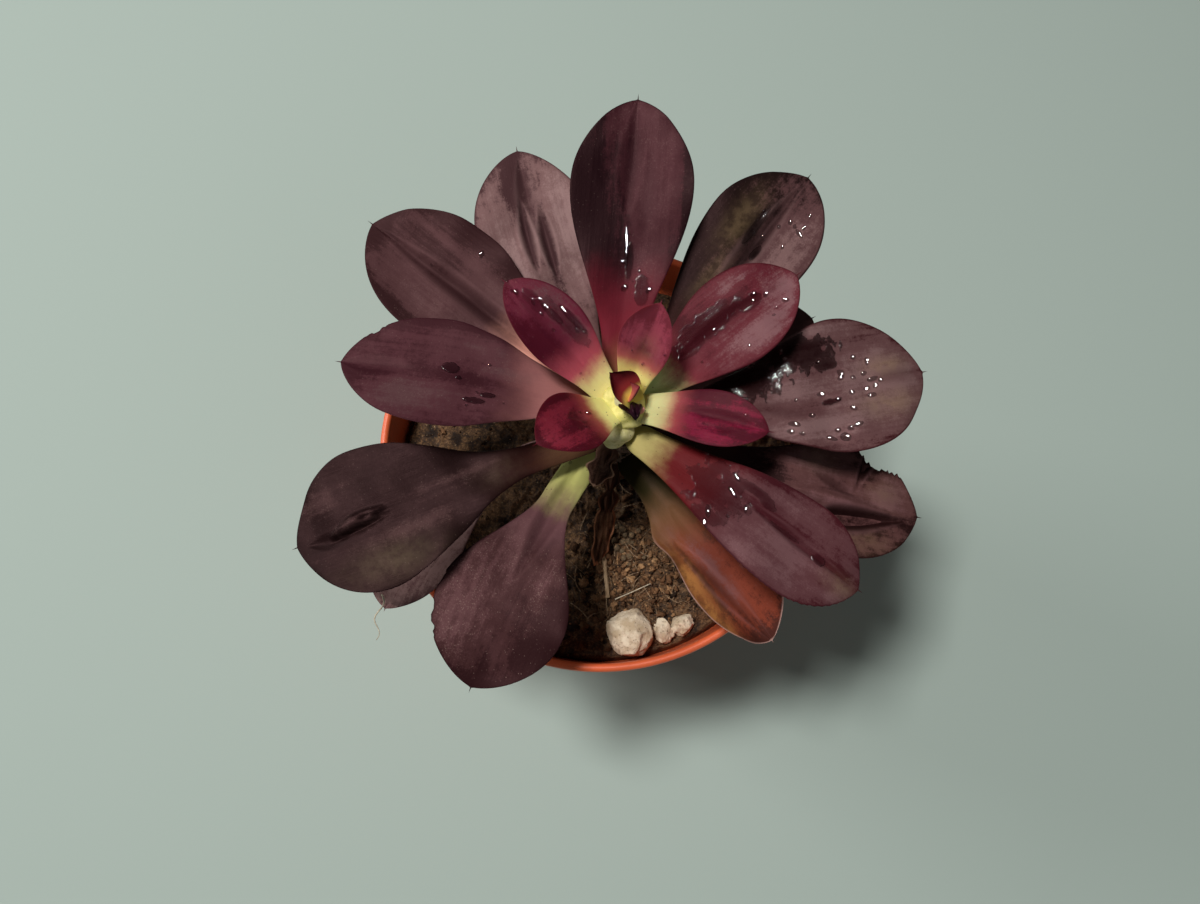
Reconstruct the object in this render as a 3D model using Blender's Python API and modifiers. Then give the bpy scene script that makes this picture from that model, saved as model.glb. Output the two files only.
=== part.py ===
# A potted echeveria: a dark, leggy rosette on a bare stem, in a plastic nursery pot.
# Metres, +Z up. The origin is the centre of the pot's foot, on the surface that it stands on.
# -Y is the front, where lower leaves have dropped and the stem and the soil show.

import math
from dataclasses import dataclass

import bmesh
import bpy
import numpy as np
from mathutils import Matrix, Vector, noise

MM = 0.001
NAME = "potted_echeveria"
GAP = 0.3 * MM  # the room that touching pieces keep

# Pot: a 10.5 cm nursery pot with a rolled lip, a stacking step and holes in its floor
POT_HEIGHT = 92 * MM
RIM_RADIUS = 52.5 * MM
FOOT_RADIUS = 38.5 * MM
WALL = 1.1 * MM
LIP_WIDTH = 1.8 * MM
LIP_DEPTH = 3.4 * MM
COLLAR_DEPTH = 17 * MM
COLLAR_TAPER = 0.7 * MM
COLLAR_STEP = 1.6 * MM
STEP_SLOPE = 1.5 * MM
FLOOR = 1.5 * MM
FLOOR_RISE = 3.2 * MM
FOOT_SOFT = 0.8 * MM
GROOVE_INNER = 17 * MM
GROOVE_OUTER = 32 * MM
GROOVE_RISE = 2 * MM
DRAIN_RADIUS = 4.2 * MM
DRAIN_CIRCLE = 24.5 * MM
DRAIN_COUNT = 6
DRAIN_SIDES = 14
POT_SIDES = 48

# Soil: fills the pot to a little below the rim, with a lumpy top
SOIL_TOP = 78 * MM
SOIL_FLOOR = 4.2 * MM
SOIL_SLACK = 1.2 * MM
SOIL_RINGS = 10
SOIL_RELIEF = 1.6 * MM
SOIL_LUMP = 9 * MM
MOUND_PLACE = Vector((9, -24, 0)) * MM
MOUND_REACH = 17 * MM
MOUND_RISE = 3.2 * MM

# Stem: rises from the soil, thick and scarred below, with the growing tip on top
STEM_FOOT = Vector((3.2, -0.6, 58)) * MM
STEM_TOP = Vector((4.9, -0.2, 127)) * MM
STEM_BOW = 0.9 * MM
STEM_SIDES = 14
STEM_RINGS = 24
STEM_RADII = ((58, 4.6), (76, 4.9), (84, 4.5), (98, 4.7), (112, 4.6), (121, 4.0), (125, 3.1), (127, 1.9))
STEM_HOLE_RADIUS = 5.9 * MM

# Leaves: a lens-shaped section along a bowed midrib, from a rounded heel to a point
HEEL = 0.06  # share of the length in which the heel rounds off
BEND = 0.36  # how far the slopes of base and tip reach into the midrib, as a share of its length
SHOULDER = 2.2  # how long the blade stays broad before it closes to its tip
THINNING = 0.45  # share of the neck's thickness that is gone at the tip
TIP_EDGE = 6  # how late the blade thins to its edge at the tip
UPPER_SHARE = 0.85  # share of the thickness above the midrib, where 1 is half of it
SMALL_WIDTH = 8  # millimetres; a leaf narrower than this gets a coarser mesh

# Stones that lie on the soil: name, place, size, turn and seed
STONE_LUMPS = 5
STONE_RELIEF = 0.28
STONE_STAND = 0.22  # how far its middle lies above the soil, as a share of its height
STONES = (
    ("stone_1", (7.1 * MM, -43.6 * MM), (11.6 * MM, 12.4 * MM, 9 * MM), 0.5, 3.0),
    ("stone_2", (14.9 * MM, -43.2 * MM), (4 * MM, 5.6 * MM, 4.2 * MM), 0.2, 8.0),
    ("stone_3", (19.9 * MM, -41.5 * MM), (5.6 * MM, 4.6 * MM, 4.4 * MM), 0.5, 13.0),
)

# A straw that lies on the soil
STRAW_START = Vector((0.7, -22, 0)) * MM
STRAW_END = Vector((1.9, -35.0, 0)) * MM
STRAW_RADIUS = 0.5 * MM
STRAW_POINTS = 5
STRAW_LIFT = 0.4  # how far its middle lies above the soil, as a share of its radius

BED_ROOM = 1.3 * GAP  # what each stone and the straw keep to the hollow that they lie in

MERGE = 0.01 * MM
SHARP_ANGLE = math.radians(40)

# Colours
POT_COLOUR = (0.52, 0.14, 0.055)
SOIL_COLOUR = (0.10, 0.055, 0.03)
STEM_COLOUR = (0.25, 0.16, 0.08)
STONE_COLOUR = (0.62, 0.55, 0.43)
STRAW_COLOUR = (0.55, 0.38, 0.2)
CUTTER_COLOUR = (0.5, 0.5, 0.5)
YOUNG = (0.22, 0.03, 0.06)
GROWN = (0.075, 0.025, 0.035)
AGEING = (0.20, 0.05, 0.03)
DEAD = (0.09, 0.045, 0.025)


@dataclass
class Leaf:
    """One leaf, in millimetres and degrees. Its own left is to the left of a walk from base to tip."""

    tip: tuple  # where the point of the blade is
    level: float  # height of its base on the stem
    width: float  # at the broadest place of the blade
    waist: float = 7.5  # at the narrow neck near the stem
    thick: float = 3.4  # at the neck; the blade thins towards its tip
    neck: float = 0.12  # how far along the neck ends and the blade begins to widen, 0 to 1
    broad: float = 0.66  # how far along the broadest place is, 0 to 1
    rise: float = 25  # slope where it leaves the stem
    droop: float = 0  # slope at the tip, above the level
    sweep: float = 0  # how far the midrib bows to the left
    cup: float = 0.10  # how far the margins curl up, as a share of the half width
    roll: float = 0  # turn about the midrib at the base, left margin up
    twist: float = 0  # further turn by the tip
    skew: float = 0  # how much wider the left half is than the right
    point: float = 0.72  # 1 is a sharp tip, 0.5 a round one
    reach: float = 0  # how far the base stands off the stem
    turn: float = 0  # where round the stem it starts, against the line to its tip
    colour: tuple = GROWN


LEAVES = {
    "leaf_01": Leaf(tip=(11.2, 12.6, 144), level=126, width=10.5, waist=6, thick=2.6, rise=62,
                    droop=48, cup=0.30, broad=0.60, neck=0, reach=0.4, colour=YOUNG),
    "leaf_02": Leaf(tip=(-11.6, -12.6, 138), level=124.8, width=13, waist=6.5, thick=2.8, rise=46,
                    droop=14, cup=0.22, broad=0.60, neck=0, colour=YOUNG),
    "leaf_03": Leaf(tip=(32.5, -8.2, 131), level=123.6, width=11.5, waist=6.5, thick=3, rise=30,
                    droop=4, cup=0.20, broad=0.58, neck=0, reach=0.1, colour=YOUNG),
    "leaf_04": Leaf(tip=(-18.3, 19.7, 138), level=122.4, width=13.5, waist=6.5, thick=3, rise=42,
                    droop=12, cup=0.26, broad=0.60, neck=0, reach=0.2, colour=YOUNG),
    "leaf_05": Leaf(tip=(39.0, 23.2, 134), level=120.4, width=19, waist=7, thick=3.2, rise=34, droop=8,
                    cup=0.14, broad=0.64, neck=0.04, colour=YOUNG),
    "leaf_06": Leaf(tip=(-51.2, 6.4, 130), level=119.2, width=24, waist=8, thick=4.4, rise=28, droop=4,
                    cup=0.18, broad=0.66, neck=0.05, roll=10),
    "leaf_07": Leaf(tip=(52.3, -36.7, 114), level=118, width=20, waist=6.5, thick=3.8, rise=22,
                    droop=-22, cup=0.06, broad=0.72, neck=0, turn=-30, sweep=-5, reach=0.2),
    "leaf_08": Leaf(tip=(7.8, 60.5, 138), level=116.8, width=25, waist=7.5, thick=3.6, rise=32,
                    droop=12, cup=0.12, broad=0.70, turn=15, reach=0.1),
    "leaf_09": Leaf(tip=(66.6, 7.2, 122), level=114.4, width=28.5, waist=8, thick=3.4, rise=24,
                    droop=-8, cup=0.08, broad=0.72, sweep=-6, neck=0.18),
    "leaf_10": Leaf(tip=(-47.9, 38.4, 127), level=112.6, width=26.5, waist=8, thick=3.6, rise=27,
                    droop=6, cup=0.14, broad=0.7, sweep=1),
    "leaf_11": Leaf(tip=(44.2, 48.8, 128), level=110.8, width=24.5, waist=8, thick=3.4, rise=30,
                    droop=4, cup=0.10, broad=0.72),
    "leaf_12": Leaf(tip=(-61.4, -28.4, 116), level=109.6, width=30, waist=6.5, thick=3.6, rise=22,
                    droop=-8, cup=0.10, broad=0.76, neck=0.25, sweep=3),
    "leaf_13": Leaf(tip=(68.6, -20.2, 106), level=108.4, width=24, waist=8, thick=3.2, rise=14,
                    droop=-16, cup=0.06, broad=0.74, neck=0.20, sweep=-10, skew=-0.2),
    "leaf_14": Leaf(tip=(-18.0, 56.6, 126), level=107.2, width=25, waist=8, thick=3.4, rise=30,
                    droop=6, cup=0.10, broad=0.70, sweep=12),
    "leaf_15": Leaf(tip=(-26.6, -55.7, 106), level=105.2, width=28.5, waist=7.5, thick=3.2, rise=14,
                    droop=-16, cup=0.10, broad=0.72, neck=0.28, sweep=-6, turn=-38, reach=0.4),
    "leaf_16": Leaf(tip=(48.8, 26.3, 106), level=104.6, width=22, waist=7, thick=3, rise=12,
                    droop=-10, cup=0.08, broad=0.68),
    "leaf_17": Leaf(tip=(37.6, -45.8, 97), level=103, width=20, waist=7, thick=2.8, rise=4, droop=-16,
                    cup=0.30, broad=0.66, turn=-20, colour=AGEING),
    "leaf_18": Leaf(tip=(-47.2, -39.0, 98), level=99.6, width=19, waist=6.5, thick=2.6, rise=4,
                    droop=-10, cup=0.06, broad=0.76, neck=0.35, sweep=-30, turn=-40),
    "tip_leaf_1": Leaf(tip=(3.4, 1.7, 133.5), level=127.8, width=4.6, waist=3, thick=1.2, rise=85,
                       droop=70, cup=0.7, broad=0.6, neck=0, reach=-0.6, colour=YOUNG, turn=25),
    "tip_leaf_2": Leaf(tip=(7.2, 0.4, 132.6), level=127.8, width=2.6, waist=1.8, thick=1.2, rise=75,
                       droop=70, cup=0.3, broad=0.5, neck=0, reach=-0.6, colour=YOUNG, turn=-20),
    "tip_leaf_3": Leaf(tip=(6.8, -4.6, 129.6), level=127.8, width=3.6, waist=2, thick=1, rise=50,
                       droop=-10, cup=0.3, broad=0.6, neck=0, reach=-0.4, colour=GROWN),
    "dead_leaf_1": Leaf(tip=(-0.5, -27.2, 82), level=96, width=7, waist=3, thick=1, rise=-10, droop=-50,
                        cup=-0.4, broad=0.6, colour=DEAD),
    "dead_leaf_2": Leaf(tip=(-1.4, -13.8, 108.2), level=111.8, width=4.4, waist=3, thick=0.9, rise=5,
                        droop=-30, cup=-0.3, broad=0.6, colour=DEAD),
}


def stem_axis(height):
    """The middle of the stem at a height, in metres: nearly upright, bowed a little to the front."""
    share = (height - STEM_FOOT.z) / (STEM_TOP.z - STEM_FOOT.z)
    middle = STEM_FOOT.lerp(STEM_TOP, share)
    middle.y -= STEM_BOW * math.sin(math.pi * min(max(share, 0.0), 1.0))
    return middle


def stem_radius(height):
    """The stem's radius at a height, in metres."""
    heights, radii = zip(*STEM_RADII)
    return float(np.interp(height / MM, heights, radii)) * MM


def unit(azimuth, slope):
    """A direction from degrees round from +X and degrees above the level."""
    turn, climb = math.radians(azimuth), math.radians(slope)
    return np.array((math.cos(climb) * math.cos(turn), math.cos(climb) * math.sin(turn), math.sin(climb)))


def leaf_base(leaf):
    """Where the midrib leaves the stem, in millimetres, and its azimuth towards the tip."""
    axis = np.array(stem_axis(leaf.level * MM)) / MM
    tip = np.array(leaf.tip)
    away = math.degrees(math.atan2(tip[1] - axis[1], tip[0] - axis[0]))
    off = (stem_radius(leaf.level * MM) + GAP) / MM + leaf.reach
    base = axis + unit(away + leaf.turn, 0) * off
    return base, math.degrees(math.atan2(tip[1] - base[1], tip[0] - base[0]))


def leaf_midrib(leaf, share):
    """Points of the midrib and its left and up directions, at shares 0 to 1 from base to tip."""
    base, azimuth = leaf_base(leaf)
    tip = np.array(leaf.tip)
    arm = BEND * np.linalg.norm(tip - base)
    start = base + unit(azimuth + leaf.sweep, leaf.rise) * arm
    finish = tip - unit(azimuth - leaf.sweep, leaf.droop) * arm
    t = share[:, None]
    middle = (base * (1 - t) ** 3 + start * 3 * t * (1 - t) ** 2
              + finish * 3 * t * t * (1 - t) + tip * t ** 3)
    along = ((start - base) * (1 - t) ** 2 + (finish - start) * 2 * t * (1 - t)
             + (tip - finish) * t * t)
    along /= np.linalg.norm(along, axis=1, keepdims=True)
    left = np.cross((0, 0, 1), along)
    left /= np.linalg.norm(left, axis=1, keepdims=True)
    up = np.cross(along, left)
    turn = np.radians(leaf.roll + leaf.twist * share)[:, None]
    return middle, left * np.cos(turn) + up * np.sin(turn), up * np.cos(turn) - left * np.sin(turn)


def leaf_outline(leaf, share):
    """Half the width and half the thickness of the blade, in millimetres, at shares of its length."""
    body = np.clip((share - leaf.neck) / (leaf.broad - leaf.neck), 0, 1)
    half = 0.5 * (leaf.waist + (leaf.width - leaf.waist) * body ** 2 * (3 - 2 * body))
    head = np.clip((share - leaf.broad) / (1 - leaf.broad), 0, 1)
    half *= np.clip(1 - head ** SHOULDER, 0, 1) ** leaf.point
    heel = np.sqrt(1 - np.clip(1 - share / HEEL, 0, 1) ** 2)
    thick = 0.5 * leaf.thick * (1 - THINNING * share) * np.sqrt(np.clip(1 - share ** TIP_EDGE, 0, 1))
    return half * heel, thick * heel


def leaf_surface(leaf, share, angle):
    """The leaf's skin in millimetres: shares of its length, and angles round its section from the left."""
    middle, left, up = leaf_midrib(leaf, share)
    half, thick = leaf_outline(leaf, share)
    side, height = np.cos(angle), np.sin(angle)
    across = half * side * (1 + leaf.skew * np.sign(side))
    lift = thick * height * np.where(height > 0, UPPER_SHARE, 2 - UPPER_SHARE)
    lift = lift + half * leaf.cup * side ** 2
    return middle + left * across[:, None] + up * lift[:, None]


def make_material(name, colour, roughness):
    """A plain Principled material, named for the piece that wears it."""
    material = bpy.data.materials.new(name)
    material.use_nodes = True
    shader = material.node_tree.nodes["Principled BSDF"]
    shader.inputs["Base Color"].default_value = (*colour, 1)
    shader.inputs["Roughness"].default_value = roughness
    shader.inputs["Metallic"].default_value = 0
    return material


def make_object(name, bm, group, colour, roughness):
    """Turn a finished bmesh into a smooth-shaded object in a collection."""
    mesh = bpy.data.meshes.new(name)
    bm.to_mesh(mesh)
    bm.free()
    mesh.shade_smooth()
    mesh.set_sharp_from_angle(angle=SHARP_ANGLE)
    mesh.materials.append(make_material(name, colour, roughness))
    piece = bpy.data.objects.new(name, mesh)
    group.objects.link(piece)
    return piece


def make_cutter(name, bm, cutters):
    """An object that only cuts others: drawn as wire and left out of renders."""
    cutter = make_object(name, bm, cutters, CUTTER_COLOUR, 1)
    cutter.hide_render = True
    cutter.display_type = "WIRE"
    return cutter


def cut(piece, cutter):
    """Take the cutter's volume out of a piece."""
    trim = piece.modifiers.new(cutter.name, "BOOLEAN")
    trim.operation = "DIFFERENCE"
    trim.object = cutter


def evaluated(guide):
    """A bmesh of a guide object with its modifiers or its bevel, welded; the guide is removed."""
    graph = bpy.context.evaluated_depsgraph_get()
    mesh = bpy.data.meshes.new_from_object(guide.evaluated_get(graph))
    bpy.data.objects.remove(guide)
    bm = bmesh.new()
    bm.from_mesh(mesh)
    bmesh.ops.remove_doubles(bm, verts=bm.verts, dist=MERGE)
    return bm


def turned(profile, sides):
    """A bmesh of a profile of (radius, height) points turned round Z, from axis to axis."""
    bm = bmesh.new()
    corners = [bm.verts.new((radius, 0, height)) for radius, height in profile]
    for first, second in zip(corners, corners[1:]):
        bm.edges.new((first, second))
    mesh = bpy.data.meshes.new("profile")
    bm.to_mesh(mesh)
    bm.free()
    guide = bpy.data.objects.new("profile", mesh)
    bpy.context.scene.collection.objects.link(guide)
    screw = guide.modifiers.new("Turn", "SCREW")
    screw.steps = screw.render_steps = sides
    screw.use_merge_vertices = True
    screw.merge_threshold = MERGE
    return evaluated(guide)


def tube(name, points, radii, resolution):
    """A bmesh of a capped tube along points, from a POLY curve with a radius at each point."""
    curve = bpy.data.curves.new(name, "CURVE")
    curve.dimensions = "3D"
    curve.bevel_depth = 1
    curve.bevel_resolution = resolution
    curve.use_fill_caps = True
    spline = curve.splines.new("POLY")
    spline.points.add(len(points) - 1)
    for point, place, radius in zip(spline.points, points, radii):
        point.co = (*place, 1)
        point.radius = radius
    guide = bpy.data.objects.new(name, curve)
    bpy.context.scene.collection.objects.link(guide)
    return evaluated(guide)


def cylinder(radius, low, high, place, sides):
    """A bmesh cylinder that stands on a place."""
    bm = bmesh.new()
    middle = Matrix.Translation((place[0], place[1], (low + high) / 2))
    bmesh.ops.create_cone(bm, cap_ends=True, segments=sides, radius1=radius, radius2=radius,
                          depth=high - low, matrix=middle)
    return bm


def pot_inner_radius(height):
    """The radius of the pot's inner wall at a height: two tapers with a step between them."""
    step = POT_HEIGHT - COLLAR_DEPTH
    heights = (FLOOR_RISE, step - STEP_SLOPE, step, POT_HEIGHT)
    mouth = RIM_RADIUS - LIP_WIDTH
    collar = mouth - COLLAR_TAPER
    radii = (FOOT_RADIUS - WALL, collar - COLLAR_STEP, collar, mouth)
    return float(np.interp(height, heights, radii))


def make_pot(parts, cutters):
    """The nursery pot: one thin turned shell with a rolled lip, and holes in a raised ring of its floor."""
    step = POT_HEIGHT - COLLAR_DEPTH
    mouth = RIM_RADIUS - LIP_WIDTH
    lip_foot = POT_HEIGHT - LIP_DEPTH
    soft = 0.35 * LIP_WIDTH
    inside = [(0, FLOOR), (GROOVE_INNER - FLOOR, FLOOR), (GROOVE_INNER, FLOOR + GROOVE_RISE),
              (GROOVE_OUTER, FLOOR + GROOVE_RISE), (GROOVE_OUTER + FLOOR, FLOOR),
              (FOOT_RADIUS - WALL - FLOOR, FLOOR)]
    for height in (FLOOR_RISE, step - STEP_SLOPE, step):
        inside.append((pot_inner_radius(height), height))
    lip = [(mouth, POT_HEIGHT - soft), (mouth + 0.3 * soft, POT_HEIGHT - 0.3 * soft),
           (mouth + soft, POT_HEIGHT), (RIM_RADIUS - soft, POT_HEIGHT),
           (RIM_RADIUS - 0.3 * soft, POT_HEIGHT - 0.3 * soft), (RIM_RADIUS, POT_HEIGHT - soft),
           (RIM_RADIUS, lip_foot + soft), (RIM_RADIUS - 0.5 * soft, lip_foot)]
    outside = [(pot_inner_radius(height) + WALL, height) for height in (lip_foot, step, step - STEP_SLOPE)]
    outside += [(FOOT_RADIUS, FOOT_SOFT), (FOOT_RADIUS - FOOT_SOFT, 0), (GROOVE_OUTER + FLOOR, 0),
                (GROOVE_OUTER, GROOVE_RISE), (GROOVE_INNER, GROOVE_RISE), (GROOVE_INNER - FLOOR, 0), (0, 0)]
    pot = make_object("pot", turned(inside + lip + outside, POT_SIDES), parts, POT_COLOUR, 0.5)
    for number in range(DRAIN_COUNT):
        angle = 2 * math.pi * number / DRAIN_COUNT
        place = (DRAIN_CIRCLE * math.cos(angle), DRAIN_CIRCLE * math.sin(angle))
        drill = cylinder(DRAIN_RADIUS, -FLOOR, 4 * FLOOR, place, DRAIN_SIDES)
        cut(pot, make_cutter(f"drain_{number + 1}", drill, cutters))
    return pot


def soil_height(x, y):
    """The height of the soil's lumpy top, in metres, with a low mound in front of the stem."""
    spot = Vector((x, y, 0))
    mound = MOUND_RISE * math.exp(-((spot - MOUND_PLACE).length / MOUND_REACH) ** 2)
    lumps = noise.noise(spot / SOIL_LUMP) + 0.5 * noise.noise(spot / SOIL_LUMP * 2 + Vector((7, 3, 0)))
    return SOIL_TOP + mound + SOIL_RELIEF * lumps


def make_soil(parts, cutters, bedded):
    """The soil: a turned plug that fills the pot, its top raised by a formula, with a hole for the stem.

    Each bedded piece lies in a hollow of its own.
    """
    edge = pot_inner_radius(SOIL_TOP) - GAP - SOIL_SLACK
    step = POT_HEIGHT - COLLAR_DEPTH
    top = [(edge * ring / SOIL_RINGS, SOIL_TOP) for ring in range(SOIL_RINGS + 1)]
    wall = [(pot_inner_radius(step) - GAP, step + GAP),
            (pot_inner_radius(step - STEP_SLOPE) - GAP, step - STEP_SLOPE + GAP),
            (pot_inner_radius(SOIL_FLOOR) - GAP, SOIL_FLOOR), (0, SOIL_FLOOR)]
    bm = turned(top + wall, POT_SIDES)
    for corner in bm.verts:
        if abs(corner.co.z - SOIL_TOP) < GAP:
            corner.co.z = soil_height(corner.co.x, corner.co.y)
    soil = make_object("soil", bm, parts, SOIL_COLOUR, 0.95)
    hole = cylinder(STEM_HOLE_RADIUS, STEM_FOOT.z - 2 * GAP, POT_HEIGHT, STEM_FOOT, STEM_SIDES)
    cut(soil, make_cutter("stem_hole", hole, cutters))
    for piece in bedded:
        bed = bmesh.new()
        bed.from_mesh(piece.data)
        bmesh.ops.transform(bed, matrix=piece.matrix_basis, verts=bed.verts)
        bed.normal_update()
        for corner in bed.verts:
            corner.co += corner.normal * BED_ROOM
        cut(soil, make_cutter(f"{piece.name}_bed", bed, cutters))
    return soil


def make_stem(parts):
    """The stem: a tapering tube from the soil to the growing tip."""
    heights = np.linspace(STEM_FOOT.z, STEM_TOP.z, STEM_RINGS)
    points = [stem_axis(height) for height in heights]
    radii = [stem_radius(height) for height in heights]
    bm = tube("stem", points, radii, STEM_SIDES // 2 - 2)
    return make_object("stem", bm, parts, STEM_COLOUR, 0.7)


def make_leaf(name, leaf, parts):
    """One leaf: a sphere whose rings become stations along the midrib, and whose meridians its section."""
    small = leaf.width < SMALL_WIDTH
    around, along = (12, 10) if small else (16, 14)
    bm = bmesh.new()
    bmesh.ops.create_uvsphere(bm, u_segments=around, v_segments=along, radius=1)
    corners = np.array([corner.co for corner in bm.verts])
    share = (1 + corners[:, 2]) / 2
    angle = np.arctan2(corners[:, 1], corners[:, 0])
    for corner, place in zip(bm.verts, leaf_surface(leaf, share, angle) * MM):
        corner.co = place
    return make_object(name, bm, parts, leaf.colour, 0.5)


def make_stone(name, place, size, turn, seed, parts):
    """A stone: an icosphere stretched to its size and roughened, lying in the soil."""
    bm = bmesh.new()
    bmesh.ops.create_icosphere(bm, subdivisions=2, radius=0.5)
    for corner in bm.verts:
        bump = noise.noise(corner.co * STONE_LUMPS + Vector((seed, 0, 0)))
        corner.co *= 1 + STONE_RELIEF * bump
    bmesh.ops.scale(bm, vec=size, verts=bm.verts)
    bmesh.ops.rotate(bm, matrix=Matrix.Rotation(turn, 3, "Z"), verts=bm.verts)
    stone = make_object(name, bm, parts, STONE_COLOUR, 0.9)
    stone.location = (*place, soil_height(*place) + STONE_STAND * size[2])
    return stone


def make_straw(parts):
    """A dry straw, half sunk in the soil."""
    points = []
    for share in np.linspace(0, 1, STRAW_POINTS):
        x, y = STRAW_START.lerp(STRAW_END, share).xy
        points.append(Vector((x, y, soil_height(x, y) + STRAW_LIFT * STRAW_RADIUS)))
    bm = tube("straw", points, [STRAW_RADIUS] * STRAW_POINTS, 2)
    return make_object("straw", bm, parts, STRAW_COLOUR, 0.8)


def main():
    for old in list(bpy.data.objects):
        bpy.data.objects.remove(old)
    parts = bpy.data.collections.new(NAME)
    cutters = bpy.data.collections.new("cutters")
    for group in (parts, cutters):
        bpy.context.scene.collection.children.link(group)
    make_pot(parts, cutters)
    make_stem(parts)
    for name, leaf in LEAVES.items():
        make_leaf(name, leaf, parts)
    bedded = [make_stone(*stone, parts) for stone in STONES]
    bedded.append(make_straw(parts))
    make_soil(parts, cutters, bedded)


if __name__ == "__main__":
    main()
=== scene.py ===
# %% [markdown]
# # Dressing a potted echeveria
# This lesson dresses a potted echeveria: a dark rosette on a bare stem in a plastic nursery pot.
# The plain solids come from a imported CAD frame, and each step puts a finer piece in a solid's place
# or gives it a finish. Lengths are in millimetres until a mesh is made, because a leaf is easier to
# think about as 60 than as 0.06.

# %% Load the frame
import math
from dataclasses import dataclass

import bmesh
import bpy
import numpy as np
from mathutils import Matrix, Vector, noise


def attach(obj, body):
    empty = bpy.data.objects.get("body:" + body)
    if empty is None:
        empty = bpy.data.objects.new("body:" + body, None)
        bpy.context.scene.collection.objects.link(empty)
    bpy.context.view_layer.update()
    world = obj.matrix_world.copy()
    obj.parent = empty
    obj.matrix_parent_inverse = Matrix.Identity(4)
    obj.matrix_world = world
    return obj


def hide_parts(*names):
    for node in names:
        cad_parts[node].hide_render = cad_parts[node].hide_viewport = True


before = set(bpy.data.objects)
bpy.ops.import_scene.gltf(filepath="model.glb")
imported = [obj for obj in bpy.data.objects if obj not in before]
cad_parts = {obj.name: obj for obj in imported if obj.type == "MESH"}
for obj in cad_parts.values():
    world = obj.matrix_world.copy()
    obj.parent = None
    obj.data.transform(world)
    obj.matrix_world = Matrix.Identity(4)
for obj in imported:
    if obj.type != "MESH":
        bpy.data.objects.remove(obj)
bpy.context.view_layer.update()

MM = 0.001

# %% [markdown]
# ## Writing materials as sums
# A procedural finish is mostly arithmetic: a noise times a strength, one mask minus another. Wiring
# Math nodes by hand hides that arithmetic, so a small class wraps a node's output and lets Python's
# own operators add the Math nodes. Every other node comes from one method of the recipe.

# %% A number that lives in a node tree
class Value:
    """One output of a node, on which sums and products add Math nodes."""

    def __init__(self, recipe, socket):
        self.recipe = recipe
        self.socket = socket

    def maths(self, operation, first, second):
        return self.recipe.node("ShaderNodeMath", {"operation": operation}, {0: first, 1: second})

    def __add__(self, other):
        return self.maths("ADD", self, other)

    def __radd__(self, other):
        return self.maths("ADD", other, self)

    def __sub__(self, other):
        return self.maths("SUBTRACT", self, other)

    def __rsub__(self, other):
        return self.maths("SUBTRACT", other, self)

    def __mul__(self, other):
        return self.maths("MULTIPLY", self, other)

    def __rmul__(self, other):
        return self.maths("MULTIPLY", other, self)

    def between(self, low, high):
        """A soft mask: 0 below low, 1 above high, or the other way round where low is the higher."""
        settings = {"interpolation_type": "SMOOTHSTEP"}
        first, last, start, end = (low, high, 0.0, 1.0) if low < high else (high, low, 1.0, 0.0)
        sockets = {"Value": self, "From Min": first, "From Max": last, "To Min": start, "To Max": end}
        return self.recipe.node("ShaderNodeMapRange", settings, sockets)


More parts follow.
